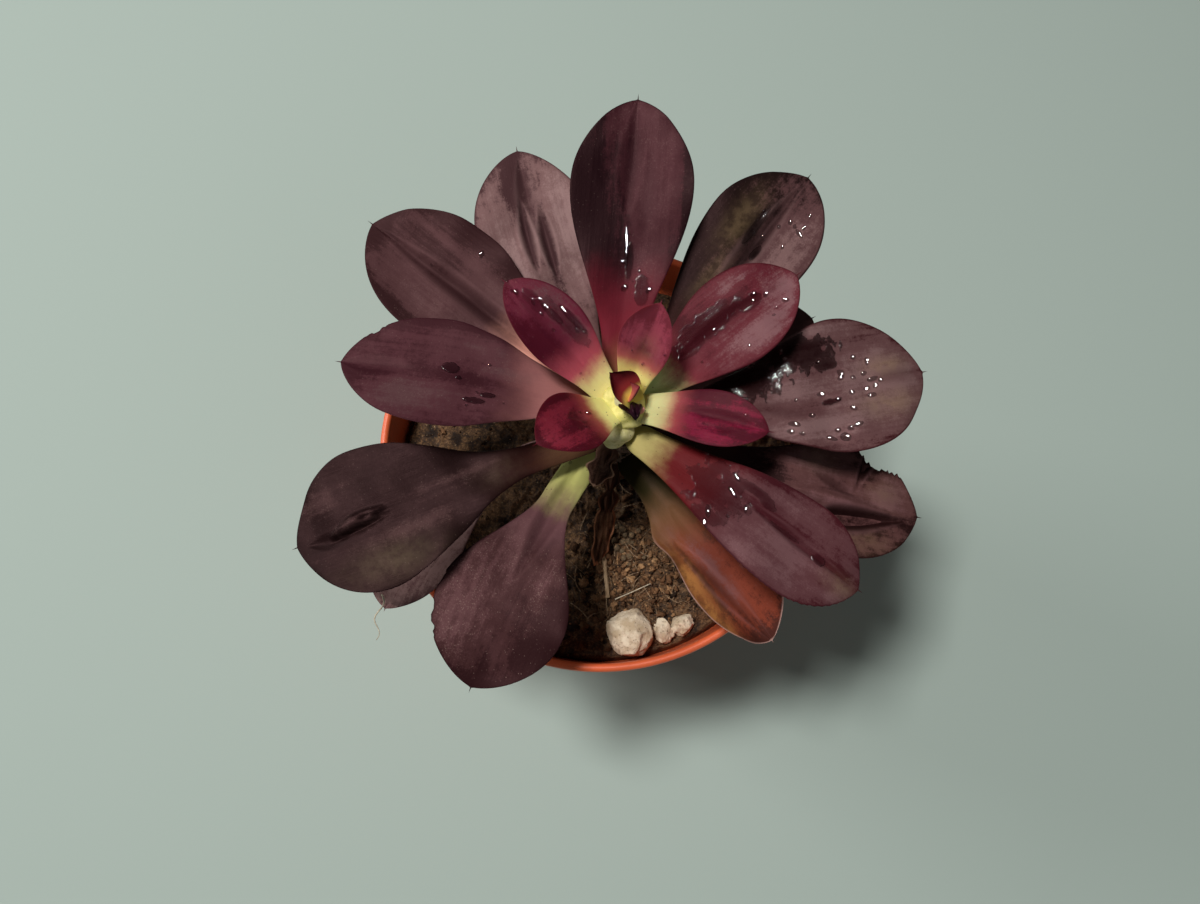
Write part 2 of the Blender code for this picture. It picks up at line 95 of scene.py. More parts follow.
# %% A material that is written step by step
class Recipe:
    """A material with one Principled shader, and a method that adds any node to it."""

    def __init__(self, name, **constants):
        self.material = bpy.data.materials.new(name)
        self.material.use_nodes = True
        self.tree = self.material.node_tree
        self.shader = self.tree.nodes["Principled BSDF"]
        for socket, value in constants.items():
            title = socket.replace("_", " ").title().replace("Ior", "IOR")
            self.shader.inputs[title].default_value = value

    def node(self, kind, settings, sockets, output=0):
        """Add a node: its settings first, then the values or links of its sockets."""
        node = self.tree.nodes.new(kind)
        for setting, value in settings.items():
            setattr(node, setting, value)
        for socket, value in sockets.items():
            self.feed(self.find(node.inputs, socket), value)
        return Value(self, self.find(node.outputs, output))

    @staticmethod
    def find(sockets, wanted):
        """A socket by its place, or by its identifier or its name."""
        if isinstance(wanted, int):
            return sockets[wanted]
        named = [socket for socket in sockets if wanted in (socket.identifier, socket.name)]
        return named[0]

    def feed(self, socket, value):
        if isinstance(value, Value):
            self.tree.links.new(value.socket, socket)
        elif isinstance(value, tuple) and len(value) == 3 and socket.type == "RGBA":
            socket.default_value = (*value, 1)
        else:
            socket.default_value = value

    def attribute(self, name):
        """A number that the mesh carries at each of its points."""
        return self.node("ShaderNodeAttribute", {"attribute_name": name}, {}, "Fac")

    def place(self, scale=1 / MM, name=None):
        """Where a point is on its piece: in millimetres, or a vector that the mesh carries."""
        if name:
            spot = self.node("ShaderNodeAttribute", {"attribute_name": name}, {}, "Vector")
        else:
            spot = self.node("ShaderNodeTexCoord", {}, {}, "Object")
        sockets = {0: spot, "Scale": scale}
        return self.node("ShaderNodeVectorMath", {"operation": "SCALE"}, sockets)

    def noise(self, spot, size, detail=2.0, rough=0.5):
        """Cloudy noise between 0 and 1 whose blobs are about size millimetres across."""
        sockets = {"Vector": spot, "Scale": 1 / size, "Detail": detail, "Roughness": rough}
        return self.node("ShaderNodeTexNoise", {}, sockets, "Fac")

    def cells(self, spot, size):
        """The distance to the nearest of many scattered points, size millimetres apart."""
        sockets = {"Vector": spot, "Scale": 1 / size}
        return self.node("ShaderNodeTexVoronoi", {"feature": "F1"}, sockets, "Distance")

    def mix(self, share, first, second):
        """A colour between two colours."""
        sockets = {"Factor_Float": share, "A_Color": first, "B_Color": second}
        return self.node("ShaderNodeMix", {"data_type": "RGBA"}, sockets, "Result_Color")

    def stretched(self, spot, stretch):
        """The same place with its axes stretched, so that a noise on it is drawn out."""
        return self.node("ShaderNodeVectorMath", {"operation": "MULTIPLY"}, {0: spot, 1: stretch})

    def bump(self, height, depth):
        """A normal that leans as if the surface had this height, in millimetres, times depth."""
        return self.node("ShaderNodeBump", {}, {"Height": height, "Distance": depth * MM})

    def wear(self, **finish):
        """Plug what varies over the surface into the shader."""
        for socket, value in finish.items():
            self.feed(self.shader.inputs[socket.replace("_", " ").title()], value)
        return self.material


print("a recipe starts from", bpy.app.version_string)

# %% [markdown]
# ## The camera
# The photograph was taken from close above the rosette, 15 degrees off straight down, so the near
# leaves look large and the pot small. The place and the lens were found by fitting the pot's rim.
# The camera comes first because every later choice is judged through it.

# %% A camera above the rosette
FRAME_WIDTH = 1200  # pixels
FOCAL_PIXELS = 870
SENSOR_WIDTH = 36
CAMERA_PLACE = Vector((0, -55.3, 291.5)) * MM
CAMERA_LEAN = math.radians(15)

lens = bpy.data.cameras.new("above_the_rosette")
lens.sensor_width = SENSOR_WIDTH
lens.lens = SENSOR_WIDTH * FOCAL_PIXELS / FRAME_WIDTH
lens.clip_start = 0.01
camera = bpy.data.objects.new("above_the_rosette", lens)
camera.location = CAMERA_PLACE
camera.rotation_euler = (CAMERA_LEAN, 0, 0)
bpy.context.scene.collection.objects.link(camera)
bpy.context.scene.camera = camera
print("lens", round(lens.lens, 1), "mm")

# %% [markdown]
# ## Floor and light
# Dark, waxy leaves show mostly what they reflect. One large soft light from the upper left gives
# their dusty sheen and the shaded right-hand sides, and more sheen and shade are painted into the
# leaves' colours. Two more are linked to the water alone: a large one overhead puts a point of light
# on each bead, and a low one glints on the shores of the films. A dim even world keeps the shadows
# from going black.

# %% A plain pale floor
FLOOR_SIZE = 6.0
bm = bmesh.new()
bmesh.ops.create_grid(bm, x_segments=1, y_segments=1, size=FLOOR_SIZE / 2)
floor_mesh = bpy.data.meshes.new("floor")
bm.to_mesh(floor_mesh)
bm.free()
floor = bpy.data.objects.new("floor", floor_mesh)
bpy.context.scene.collection.objects.link(floor)
paint = Recipe("floor_paint", roughness=0.9, base_color=(0.39, 0.47, 0.43, 1), specular_ior_level=0.1)
floor_mesh.materials.append(paint.material)
print("floor", FLOOR_SIZE, "m wide")


# %% Soft lights
ROSETTE = (0, 0, 0.12)
ROOM_COLOUR = (0.86, 0.93, 0.90, 1)
ROOM_STRENGTH = 0.055


def soft_light(name, place, size, power, colour):
    """A square area light at a place, in metres, that faces the rosette."""
    lamp = bpy.data.lights.new(name, "AREA")
    lamp.size = size
    lamp.energy = power
    lamp.color = colour
    light = bpy.data.objects.new(name, lamp)
    light.location = place
    light.rotation_euler = (Vector(ROSETTE) - Vector(place)).to_track_quat("-Z", "Y").to_euler()
    bpy.context.scene.collection.objects.link(light)
    return light


soft_light("ceiling", (-0.33, 0.12, 1.16), size=0.20, power=11.5, colour=(1.0, 0.97, 0.94))
soft_light("window", (-1.0, 0.40, 0.60), size=0.40, power=4.5, colour=(1.0, 0.98, 0.96))
soft_light("fill", (0.7, -0.7, 0.8), size=0.8, power=1.0, colour=(0.96, 0.98, 1.0))
spark = soft_light("spark", (-0.06, 0.10, 1.32), size=1.0, power=900, colour=(1.0, 0.98, 0.96))
glint = soft_light("glint", (-0.85, 0.25, 0.75), size=0.35, power=270, colour=(1.0, 0.98, 0.96))
bead_pieces = bpy.data.collections.new("bead_pieces")
film_pieces = bpy.data.collections.new("film_pieces")
spark.light_linking.receiver_collection = bead_pieces
glint.light_linking.receiver_collection = film_pieces
world = bpy.data.worlds.new("room")
world.use_nodes = True
backdrop = world.node_tree.nodes["Background"]
backdrop.inputs["Color"].default_value = ROOM_COLOUR
backdrop.inputs["Strength"].default_value = ROOM_STRENGTH
bpy.context.scene.world = world
bpy.context.scene.view_settings.view_transform = "Standard"
print(len(bpy.data.lights), "soft lights")

# %% [markdown]
# ## Where the stem is
# Leaves start on the stem, so its axis and its radius come before them. Both repeat what the solid
# has: nearly upright, bowed a little to the front, and thinning into the growing tip.

# %% The stem's axis and radius
GAP = 0.3
STEM_FOOT = np.array((3.2, -0.6, 58))
STEM_TOP = np.array((4.9, -0.2, 127))
STEM_BOW = 0.9
STEM_RADII = (  # height and radius
    (58, 4.6), (76, 4.9), (84, 4.5), (98, 4.7), (112, 4.6), (121, 4.0), (125, 3.1), (127, 1.9))


def stem_axis(height):
    """The middle of the stem at heights, as points."""
    share = (np.asarray(height, float) - STEM_FOOT[2]) / (STEM_TOP[2] - STEM_FOOT[2])
    middle = STEM_FOOT + (STEM_TOP - STEM_FOOT) * share[..., None]
    middle[..., 1] -= STEM_BOW * np.sin(np.pi * np.clip(share, 0, 1))
    return middle


def stem_radius(height):
    heights, radii = zip(*STEM_RADII)
    return np.interp(height, heights, radii)


print("stem from", STEM_FOOT[2], "to", STEM_TOP[2], "mm")

# %% [markdown]
# ## Small tools for meshes
# Three helpers serve every piece: one that turns a bmesh into an object that rides on the frame, one
# that stores a number at each point for the material to read, and a smooth random field. The field
# is a sum of a few sine waves in seeded directions, which is quick on whole arrays of points and
# gives the same result each run.

# %% From a bmesh to a piece
def make_piece(name, bm, material, replaced=(), numbers=None, points=None):
    """A smooth object from a bmesh, in the place of CAD nodes, with numbers stored at its points."""
    mesh = bpy.data.meshes.new(name)
    bm.to_mesh(mesh)
    bm.free()
    if points is not None:
        mesh.vertices.foreach_set("co", (points * MM).astype(np.float32).ravel())
        mesh.update()
    mesh.shade_smooth()
    mesh.materials.append(material)
    for key, values in (numbers or {}).items():
        store(mesh, key, values)
    piece = bpy.data.objects.new(name, mesh)
    bpy.context.scene.collection.objects.link(piece)
    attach(piece, "root")
    if replaced:
        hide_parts(*replaced)
    return piece


def store(mesh, key, values):
    """Keep a number, or a vector, at each point of a mesh."""
    values = np.asarray(values, np.float32)
    if values.ndim == 1:
        mesh.attributes.new(key, "FLOAT", "POINT").data.foreach_set("value", values)
    else:
        mesh.attributes.new(key, "FLOAT_VECTOR", "POINT").data.foreach_set("vector", values.ravel())


# %% A smooth random field
WAVES = 10


def ripple(points, size, seed):
    """A smooth random number, mostly between -1 and 1, whose bumps are about size across."""
    rng = np.random.default_rng(seed)
    directions = rng.normal(size=(WAVES, points.shape[-1]))
    directions /= np.linalg.norm(directions, axis=1, keepdims=True)
    lengths = size * rng.uniform(1.2, 2.6, WAVES)
    phases = rng.uniform(0, 2 * math.pi, WAVES)
    waves = np.sin(points @ (directions * (2 * math.pi / lengths)[:, None]).T + phases)
    return waves.sum(-1) / math.sqrt(WAVES)


# %% [markdown]
# ## The shape of a leaf
# Each leaf is a lens-shaped section carried along a bowed midrib, from a rounded heel to a point.
# The numbers are those of the solid that the piece replaces, so the two have one form. Here they get
# a denser skin, and room for what only a fine mesh can show: creases, a waved margin and a spine.

# %% One leaf's numbers
@dataclass
class Leaf:
    """One leaf, in millimetres and degrees. Its own left is to the left of a walk from base to tip."""

    tip: tuple  # where the point of the blade is
    level: float  # height of its base on the stem
    width: float  # at the broadest place of the blade
    waist: float = 7.5  # at the narrow neck near the stem
    thick: float = 3.4  # at the neck; the blade thins towards its tip
    neck: float = 0.12  # how far along the neck ends and the blade begins to widen, 0 to 1
    broad: float = 0.66  # how far along the broadest place is, 0 to 1
    rise: float = 25  # slope where it leaves the stem
    droop: float = 0  # slope at the tip, above the level
    sweep: float = 0  # how far the midrib bows to the left
    cup: float = 0.10  # how far the margins curl up, as a share of the half width
    roll: float = 0  # turn about the midrib, left margin up
    skew: float = 0  # how much wider the left half is than the right
    reach: float = 0  # how far the base stands off the stem
    turn: float = 0  # where round the stem it starts, against the line to its tip


LEAVES = {
    "leaf_01": Leaf(tip=(11.2, 12.6, 144), level=126, width=10.5, waist=6, thick=2.6, rise=62,
                    droop=48, cup=0.30, broad=0.60, neck=0, reach=0.4),
    "leaf_02": Leaf(tip=(-11.6, -12.6, 138), level=124.8, width=13, waist=6.5, thick=2.8, rise=46,
                    droop=14, cup=0.22, broad=0.60, neck=0),
    "leaf_03": Leaf(tip=(32.5, -8.2, 131), level=123.6, width=11.5, waist=6.5, thick=3, rise=30,
                    droop=4, cup=0.20, broad=0.58, neck=0, reach=0.1),
    "leaf_04": Leaf(tip=(-18.3, 19.7, 138), level=122.4, width=13.5, waist=6.5, thick=3, rise=42,
                    droop=12, cup=0.26, broad=0.60, neck=0, reach=0.2),
    "leaf_05": Leaf(tip=(39.0, 23.2, 134), level=120.4, width=19, waist=7, thick=3.2, rise=34, droop=8,
                    cup=0.14, broad=0.64, neck=0.04),
    "leaf_06": Leaf(tip=(-51.2, 6.4, 130), level=119.2, width=24, waist=8, thick=4.4, rise=28, droop=4,
                    cup=0.18, broad=0.66, neck=0.05, roll=10),
    "leaf_07": Leaf(tip=(52.3, -36.7, 114), level=118, width=20, waist=6.5, thick=3.8, rise=22,
                    droop=-22, cup=0.06, broad=0.72, neck=0, turn=-30, sweep=-5, reach=0.2),
    "leaf_08": Leaf(tip=(7.8, 60.5, 138), level=116.8, width=25, waist=7.5, thick=3.6, rise=32,
                    droop=12, cup=0.12, broad=0.70, turn=15, reach=0.1),
    "leaf_09": Leaf(tip=(66.6, 7.2, 122), level=114.4, width=28.5, waist=8, thick=3.4, rise=24,
                    droop=-8, cup=0.08, broad=0.72, sweep=-6, neck=0.18),
    "leaf_10": Leaf(tip=(-47.9, 38.4, 127), level=112.6, width=26.5, waist=8, thick=3.6, rise=27,
                    droop=6, cup=0.14, broad=0.7, sweep=1),
    "leaf_11": Leaf(tip=(44.2, 48.8, 128), level=110.8, width=24.5, waist=8, thick=3.4, rise=30,
                    droop=4, cup=0.10, broad=0.72),
    "leaf_12": Leaf(tip=(-61.4, -28.4, 116), level=109.6, width=30, waist=6.5, thick=3.6, rise=22,
                    droop=-8, cup=0.10, broad=0.76, neck=0.25, sweep=3),
    "leaf_13": Leaf(tip=(68.6, -20.2, 106), level=108.4, width=24, waist=8, thick=3.2, rise=14,
                    droop=-16, cup=0.06, broad=0.74, neck=0.20, sweep=-10, skew=-0.2),
    "leaf_14": Leaf(tip=(-18.0, 56.6, 126), level=107.2, width=25, waist=8, thick=3.4, rise=30,
                    droop=6, cup=0.10, broad=0.70, sweep=12),
    "leaf_15": Leaf(tip=(-26.6, -55.7, 106), level=105.2, width=28.5, waist=7.5, thick=3.2, rise=14,
                    droop=-16, cup=0.10, broad=0.72, neck=0.28, sweep=-6, turn=-38, reach=0.4),
    "leaf_16": Leaf(tip=(48.8, 26.3, 106), level=104.6, width=22, waist=7, thick=3, rise=12,
                    droop=-10, cup=0.08, broad=0.68),
    "leaf_17": Leaf(tip=(37.6, -45.8, 97), level=103, width=20, waist=7, thick=2.8, rise=4, droop=-16,
                    cup=0.30, broad=0.66, turn=-20),
    "leaf_18": Leaf(tip=(-47.2, -39.0, 98), level=99.6, width=19, waist=6.5, thick=2.6, rise=4,
                    droop=-10, cup=0.06, broad=0.76, neck=0.35, sweep=-30, turn=-40),
    "tip_leaf_1": Leaf(tip=(1.9, 2.4, 134.6), level=127.8, width=6.4, waist=3.8, thick=0.9, rise=78,
                       droop=60, cup=0.8, broad=0.62, neck=0, reach=-3.8, turn=8),
    "tip_leaf_2": Leaf(tip=(7.5, 0.2, 133.2), level=127.8, width=3.8, waist=2.2, thick=1.0, rise=70,
                       droop=72, cup=0.6, broad=0.5, neck=0, reach=-1.8, turn=-20),
    "tip_leaf_3": Leaf(tip=(7.0, -5.4, 129.4), level=127.8, width=4.2, waist=2, thick=0.9, rise=50,
                       droop=-20, cup=0.4, broad=0.6, neck=0, reach=-0.4),
    "dead_leaf_1": Leaf(tip=(-0.5, -27.2, 82), level=96, width=4.6, waist=3, thick=0.8, rise=-10,
                        droop=-50, cup=-0.5, broad=0.6),
    "dead_leaf_2": Leaf(tip=(-1.4, -13.8, 108.2), level=111.8, width=5.4, waist=4, thick=0.9, rise=5,
                        droop=-30, cup=-0.3, broad=0.6),
}
print(len(LEAVES), "leaves")

# %% The midrib and the outline
HEEL = 0.06  # share of the length in which the heel rounds off
BEND = 0.36  # how far the slopes of base and tip reach into the midrib
SHOULDER = 2.2  # above 1, the blade keeps its width longer towards the tip
POINT = 0.72  # below 1, the tip is blunter
THINNING = 0.45  # how much thinner the tip is than the neck
TIP_EDGE = 6
UPPER_SHARE = 0.85  # how full the upper face is against the lower


def unit(azimuth, slope):
    """A direction from degrees round from +X and degrees above the level."""
    turn, climb = math.radians(azimuth), math.radians(slope)
    return np.array((math.cos(climb) * math.cos(turn), math.cos(climb) * math.sin(turn), math.sin(climb)))


def leaf_base(leaf):
    """Where the midrib leaves the stem, and its azimuth towards the tip."""
    axis = stem_axis(leaf.level)
    away = math.degrees(math.atan2(leaf.tip[1] - axis[1], leaf.tip[0] - axis[0]))
    base = axis + unit(away + leaf.turn, 0) * (stem_radius(leaf.level) + GAP + leaf.reach)
    return base, math.degrees(math.atan2(leaf.tip[1] - base[1], leaf.tip[0] - base[0]))


def leaf_length(leaf):
    return float(np.linalg.norm(np.array(leaf.tip) - leaf_base(leaf)[0]))


def leaf_midrib(leaf, share):
    """Points of the midrib, with the directions along, left and up, at shares of its length."""
    base, azimuth = leaf_base(leaf)
    tip = np.array(leaf.tip)
    arm = BEND * leaf_length(leaf)
    start = base + unit(azimuth + leaf.sweep, leaf.rise) * arm
    finish = tip - unit(azimuth - leaf.sweep, leaf.droop) * arm
    t = share[:, None]
    middle = (base * (1 - t) ** 3 + start * 3 * t * (1 - t) ** 2
              + finish * 3 * t * t * (1 - t) + tip * t ** 3)
    along = ((start - base) * (1 - t) ** 2 + (finish - start) * 2 * t * (1 - t)
             + (tip - finish) * t * t)
    along /= np.linalg.norm(along, axis=1, keepdims=True)
    left = np.cross((0, 0, 1), along)
    left /= np.linalg.norm(left, axis=1, keepdims=True)
    up = np.cross(along, left)
    roll = math.radians(leaf.roll)
    turned_left = left * math.cos(roll) + up * math.sin(roll)
    return middle, along, turned_left, up * math.cos(roll) - left * math.sin(roll)


def leaf_outline(leaf, share):
    """Half the width and half the thickness of the blade at shares of its length."""
    share = np.clip(share, 0, 1)
    body = np.clip((share - leaf.neck) / (leaf.broad - leaf.neck), 0, 1)
    half = 0.5 * (leaf.waist + (leaf.width - leaf.waist) * body ** 2 * (3 - 2 * body))
    head = np.clip((share - leaf.broad) / (1 - leaf.broad), 0, 1)
    half *= np.clip(1 - head ** SHOULDER, 0, 1) ** POINT
    heel = np.sqrt(1 - np.clip(1 - share / HEEL, 0, 1) ** 2)
    thick = 0.5 * leaf.thick * (1 - THINNING * share) * np.sqrt(np.clip(1 - share ** TIP_EDGE, 0, 1))
    return half * heel, thick * heel


print("longest leaf", round(max(map(leaf_length, LEAVES.values())), 1), "mm")

# %% [markdown]
# ## What only one leaf has
# No two leaves of the rosette are alike: one is creased along its midrib, one is folded into a ridge,
# one is torn at its margin, and an old one curls up along its side. Each of these is a displacement
# of the skin, written in the leaf's own coordinates: how far along it is, and how far to the left.

# %% Creases and tears
@dataclass
class Fold:
    """A crease along a line on a blade; where its depth is negative it is a ridge."""

    start: tuple  # share of the length, and side: 1 is the left margin and -1 the right one
    end: tuple
    depth: float
    width: float
    face: str = "both"  # or "upper"
    open_at: float = 0.1  # near 0.5 its start gapes, and otherwise it tapers to both ends


FOLDS = {
    "leaf_01": (Fold((0.1, 0), (0.9, 0), 0.3, 1.6),),
    "leaf_02": (Fold((0.35, -0.1), (0.62, -0.25), 0.5, 1.2),),
    "leaf_03": (Fold((0.4, 0.1), (0.95, 0), 0.45, 1.2), Fold((0.5, -0.35), (0.8, -0.3), 0.3, 0.9)),
    "leaf_04": (Fold((0.3, 0.05), (0.95, 0), 0.5, 1.4),),
    "leaf_05": (Fold((0.3, 0.1), (0.95, 0), 0.4, 1.8),),
    "leaf_06": (Fold((0.75, 0), (1.0, 0), 0.5, 1.6),),
    "leaf_07": (Fold((0.47, 0.22), (0.97, -0.1), 0.8, 0.9), Fold((0.42, 0.4), (0.7, 0.5), 0.4, 2.0)),
    "leaf_08": (Fold((0.62, 0.06), (0.99, 0), 0.6, 1.8), Fold((0.55, -0.3), (0.85, -0.35), 0.35, 2.2),
                Fold((0.7, 0.45), (0.9, 0.4), 0.3, 2.4)),
    "leaf_09": (Fold((0.80, 0.0), (1.0, 0), 0.45, 1.2), Fold((0.4, -0.25), (0.72, -0.4), 0.5, 1.6)),
    "leaf_10": (Fold((0.22, 0.0), (0.98, -0.02), 1.1, 1.7),),
    "leaf_11": (Fold((0.45, 0.05), (0.97, 0), 1.0, 1.5), Fold((0.6, 0.15), (0.85, 0.25), 0.5, 1.3)),
    "leaf_12": (Fold((0.90, 0.16), (0.70, 0.02), 1.2, 0.5, "upper"),
                Fold((0.89, 0.05), (0.71, -0.10), -2.3, 1.3, "upper"),
                Fold((0.80, -0.02), (0.755, -0.06), 1.3, 0.5, "upper"),
                Fold((0.96, 0.10), (0.84, 0.16), 0.5, 1.2)),
    "leaf_13": (Fold((0.70, -0.36), (0.95, -0.26), 2.6, 1.9, "upper", 0.45),
                Fold((0.80, 1.0), (0.76, 0.2), 1.4, 1.0, "upper", 0.45),
                Fold((0.56, -0.02), (0.90, -0.06), -1.4, 1.7), Fold((0.6, 0.4), (0.78, 0.1), 0.7, 0.9)),
    "leaf_14": (Fold((0.56, 0.19), (0.83, 0.13), 1.3, 1.1, "upper"),
                Fold((0.52, -0.15), (0.80, -0.2), 1.4, 1.2, "upper"),
                Fold((0.68, -0.05), (0.97, 0.0), 0.6, 1.5)),
    "leaf_15": (Fold((0.14, 0.05), (0.6, 0.0), 0.9, 1.7), Fold((0.15, -0.5), (0.32, -0.45), -0.3, 1.0)),
    "leaf_17": (Fold((0.42, -0.55), (1.0, -0.42), 0.9, 1.3), Fold((0.3, 0.1), (0.9, 0.1), 0.5, 2.2)),
}
TEARS = {  # share, which margin, and how deep each tear reaches in
    "leaf_06": ((0.90, -1, 0.10),),
    "leaf_13": ((0.80, 1, 0.28), (0.83, 1, 0.26), (0.86, 1, 0.20), (0.89, 1, 0.12), (0.77, 1, 0.10)),
    "leaf_15": ((0.80, -1, 0.05), (0.86, -1, 0.07), (0.70, -1, 0.03)),
}
print(sum(map(len, FOLDS.values())), "folds and", sum(map(len, TEARS.values())), "tears")


# %% How lively each skin is
@dataclass
class Life:
    """How far one leaf's skin departs from the plain form, in millimetres."""

    wave: float = 0.45  # of the margins, up and down
    swell: float = 0.30  # of the blade's surface
    channel: float = 0.45  # depth of the hollow along the neck
    spine: float = 1.2  # length of the spine at the tip
    teeth: float = 0  # of the right margin
    curl: float = 0  # of the right margin, upwards
    bulge: float = 0  # of the right margin, outwards, where it rolls over
    keel: float = 0.3  # how far the blade is folded into a shallow V
    pleats: float = 0  # depth of the shrivelled ridges along a dead blade


LIVES = {
    "leaf_01": Life(wave=0.2, swell=0.12, channel=0.2, spine=0.8),
    "leaf_02": Life(wave=0.25, swell=0.2, channel=0.2, spine=1.0),
    "leaf_03": Life(wave=0.3, swell=0.15, channel=0.3, spine=1.0),
    "leaf_04": Life(wave=0.3, swell=0.15, channel=0.3, spine=1.2),
    "leaf_07": Life(wave=0.3, teeth=0.28),
    "leaf_08": Life(keel=1.3),
    "leaf_10": Life(keel=0.9),
    "leaf_11": Life(keel=1.0),
    "leaf_13": Life(wave=0.6),
    "leaf_17": Life(wave=1.1, curl=2.6, spine=0.6, bulge=1.8),
    "leaf_18": Life(spine=0.8),
    "tip_leaf_1": Life(wave=0, swell=0.05, channel=0, spine=0.3),
    "tip_leaf_2": Life(wave=0, swell=0.05, channel=0, spine=0.2),
    "tip_leaf_3": Life(wave=0.9, swell=0.3, channel=0, spine=0.2, pleats=0.45),
    "dead_leaf_1": Life(wave=1.2, swell=0.5, channel=0, spine=0.3, pleats=0.55),
    "dead_leaf_2": Life(wave=0.9, swell=0.5, channel=0, spine=0.3, pleats=0.6),
}


def pressed(fold, along, across, length, leaf):
    """How strongly a fold acts at places on the blade, on its line and on the lips beside it."""
    ends = []
    for share, side in (fold.start, fold.end):
        ends.append(np.array((share * length, side * leaf_outline(leaf, np.array([share]))[0][0])))
    spot = np.stack((along, across), -1)
    line = ends[1] - ends[0]
    nearest = np.clip((spot - ends[0]) @ line / (line @ line), 0, 1)
    taper = np.sin(np.pi * (fold.open_at + (0.97 - fold.open_at) * nearest))
    distance = np.linalg.norm(spot - ends[0] - nearest[:, None] * line, axis=1) / (fold.width * taper)
    return np.exp(-distance ** 2) * taper, np.exp(-((distance - 1.5) / 0.4) ** 2) * taper


# %% [markdown]
# ## The skin of a leaf
# The skin starts as a sphere whose rings become stations along the midrib and whose meridians become
# the section, as in the solid. Its poles crowd the stations at both ends, which is where the rounded
# heel and the little spine need them.

# %% From a sphere to a leaf
LEAF_AROUND, LEAF_ALONG = 96, 128
SMALL_AROUND, SMALL_ALONG = 48, 56
FINE_AROUND, FINE_ALONG = 136, 190
FINE_LEAVES = ("leaf_12", "leaf_13", "leaf_14", "leaf_17")  # those with slits, and the curled one
SMALL_WIDTH = 8
CROWD = 0.2  # how far the meridians gather towards the middle of both faces
MARGIN_POWER = 1.3  # above 1, the margins are sharper than a lens's
SEAT = 1.0  # how far the heel sinks into the stem
SPINE_WIDTH = 0.32
SPINE_ROOT = 1.4  # how far the spine's root reaches back into the blade, in spine lengths
TEAR_WIDTH = 0.018
TOOTH_PITCH = 1.3
BULGE = (0.36, 0.07)  # share, and how far it reaches
CURL_HINGE = ((0.18, 0.45, 0.58, 0.73, 1.0), (-0.99, -0.55, -0.35, -0.41, -0.45))  # share, side


def leaf_skin(name, share, angle):
    """The points of a leaf's skin, and the numbers that its finish reads."""
    leaf, life = LEAVES[name], LIVES.get(name, Life())
    seed = list(LEAVES).index(name)
    length = leaf_length(leaf)
    share = share * (1 + life.spine / length)
    middle, forward, left, up = leaf_midrib(leaf, share)
    half, thick = leaf_outline(leaf, share)
    side, height = np.cos(angle), np.sin(angle)
    along, across = share * length, half * side
    top = height > 0
    body = np.clip(share / 0.25, 0, 1) * np.clip((1 - share) / 0.06, 0, 1)
    for place, which, depth in TEARS.get(name, ()):
        ragged = place + 0.01 * np.sin(along * 5)
        bite = depth * np.exp(-((share - ragged) / TEAR_WIDTH) ** 2)
        across *= 1 - bite * (side * which > 0) * np.abs(side)
    if life.teeth:
        saw = life.teeth * ((along / TOOTH_PITCH) % 1) * (share > 0.55) * (share < 0.97)
        across -= saw * np.clip(-side, 0, 1) ** 8
    margin_path = np.stack((along, np.sign(side) * 30.0), -1)
    wave = life.wave * ripple(margin_path, 9, seed) * np.abs(side) ** 3 * body
    swell = life.swell * ripple(np.stack((along, across), -1), 8, 50 + seed) * body
    hinge = np.interp(share, *CURL_HINGE)
    curl = life.curl * np.clip((hinge - side) / (hinge + 1.001), 0, 1) ** 1.3
    curl *= np.clip((share - 0.25) / 0.3, 0, 1) * np.clip((1 - share) / 0.12, 0, 1)
    lens = np.sign(height) * np.abs(height) ** MARGIN_POWER
    lift = thick * lens * np.where(top, UPPER_SHARE, 2 - UPPER_SHARE)
    lift += half * leaf.cup * side ** 2 + wave + swell + curl
    lift += life.keel * (np.sqrt(side ** 2 + 0.01) - 0.5) * body
    bulge = life.bulge * np.exp(-((share - BULGE[0]) / BULGE[1]) ** 2)
    across += 0.4 * curl - bulge * np.clip(-side, 0, 1) ** 2
    channel = np.clip(share / 0.08, 0, 1) * np.clip((0.55 - share) / 0.3, 0, 1)
    lift -= life.channel * top * (1 - side ** 2) ** 2 * channel
    if life.pleats:
        pleat_path = np.stack((along * 0.35, across), -1)
        lift += life.pleats * ripple(pleat_path, 0.8, 30 + seed) * body
        across = across * (1 + 0.22 * ripple(along[:, None], 2.5, 40 + seed))
    # crease and lips carry painted shade in a fold's crease and a painted highlight on the lips beside it.
    crease, lips = np.zeros_like(lift), np.zeros_like(lift)
    for fold in FOLDS.get(name, ()):
        press, lip = pressed(fold, along, across, length, leaf)
        lift -= fold.depth * (press - 0.15 * lip) * (top | (fold.face == "both"))
        crease = np.maximum(crease, np.clip(press * fold.depth, 0, 1))
        lips = np.maximum(lips, lip * np.clip(fold.depth - 0.5, 0, 0.5) * 2)
    root = life.spine * SPINE_ROOT / length
    end = 1 + life.spine / length
    thorn = SPINE_WIDTH * np.clip((end - share) / (end - 1 + root), 0, 1) * (share > 1 - root)
    thorn_side = np.sign(side) * np.maximum(np.abs(across), np.abs(thorn * side))
    across = np.where(thorn > half, thorn_side, across)
    lift = np.where(thorn > half, thorn * height * 0.8, lift)
    sink = forward * (SEAT * np.clip(1 - share / 0.08, 0, 1))[:, None]
    points = middle + left * across[:, None] + up * lift[:, None] - sink
    margin = np.minimum(half * (1 - np.abs(side)), np.clip(1 - share, 0, 1) * length)
    numbers = {
        "share": share,
        "margin": margin,
        "top": np.clip(0.5 + 2 * height, 0, 1),
        "crease": crease * top,
        "lip": lips * top,
        "blade": np.stack((along, across + 40 * (height < 0), np.full_like(along, 17.0 * seed)), -1),
    }
    return points, numbers


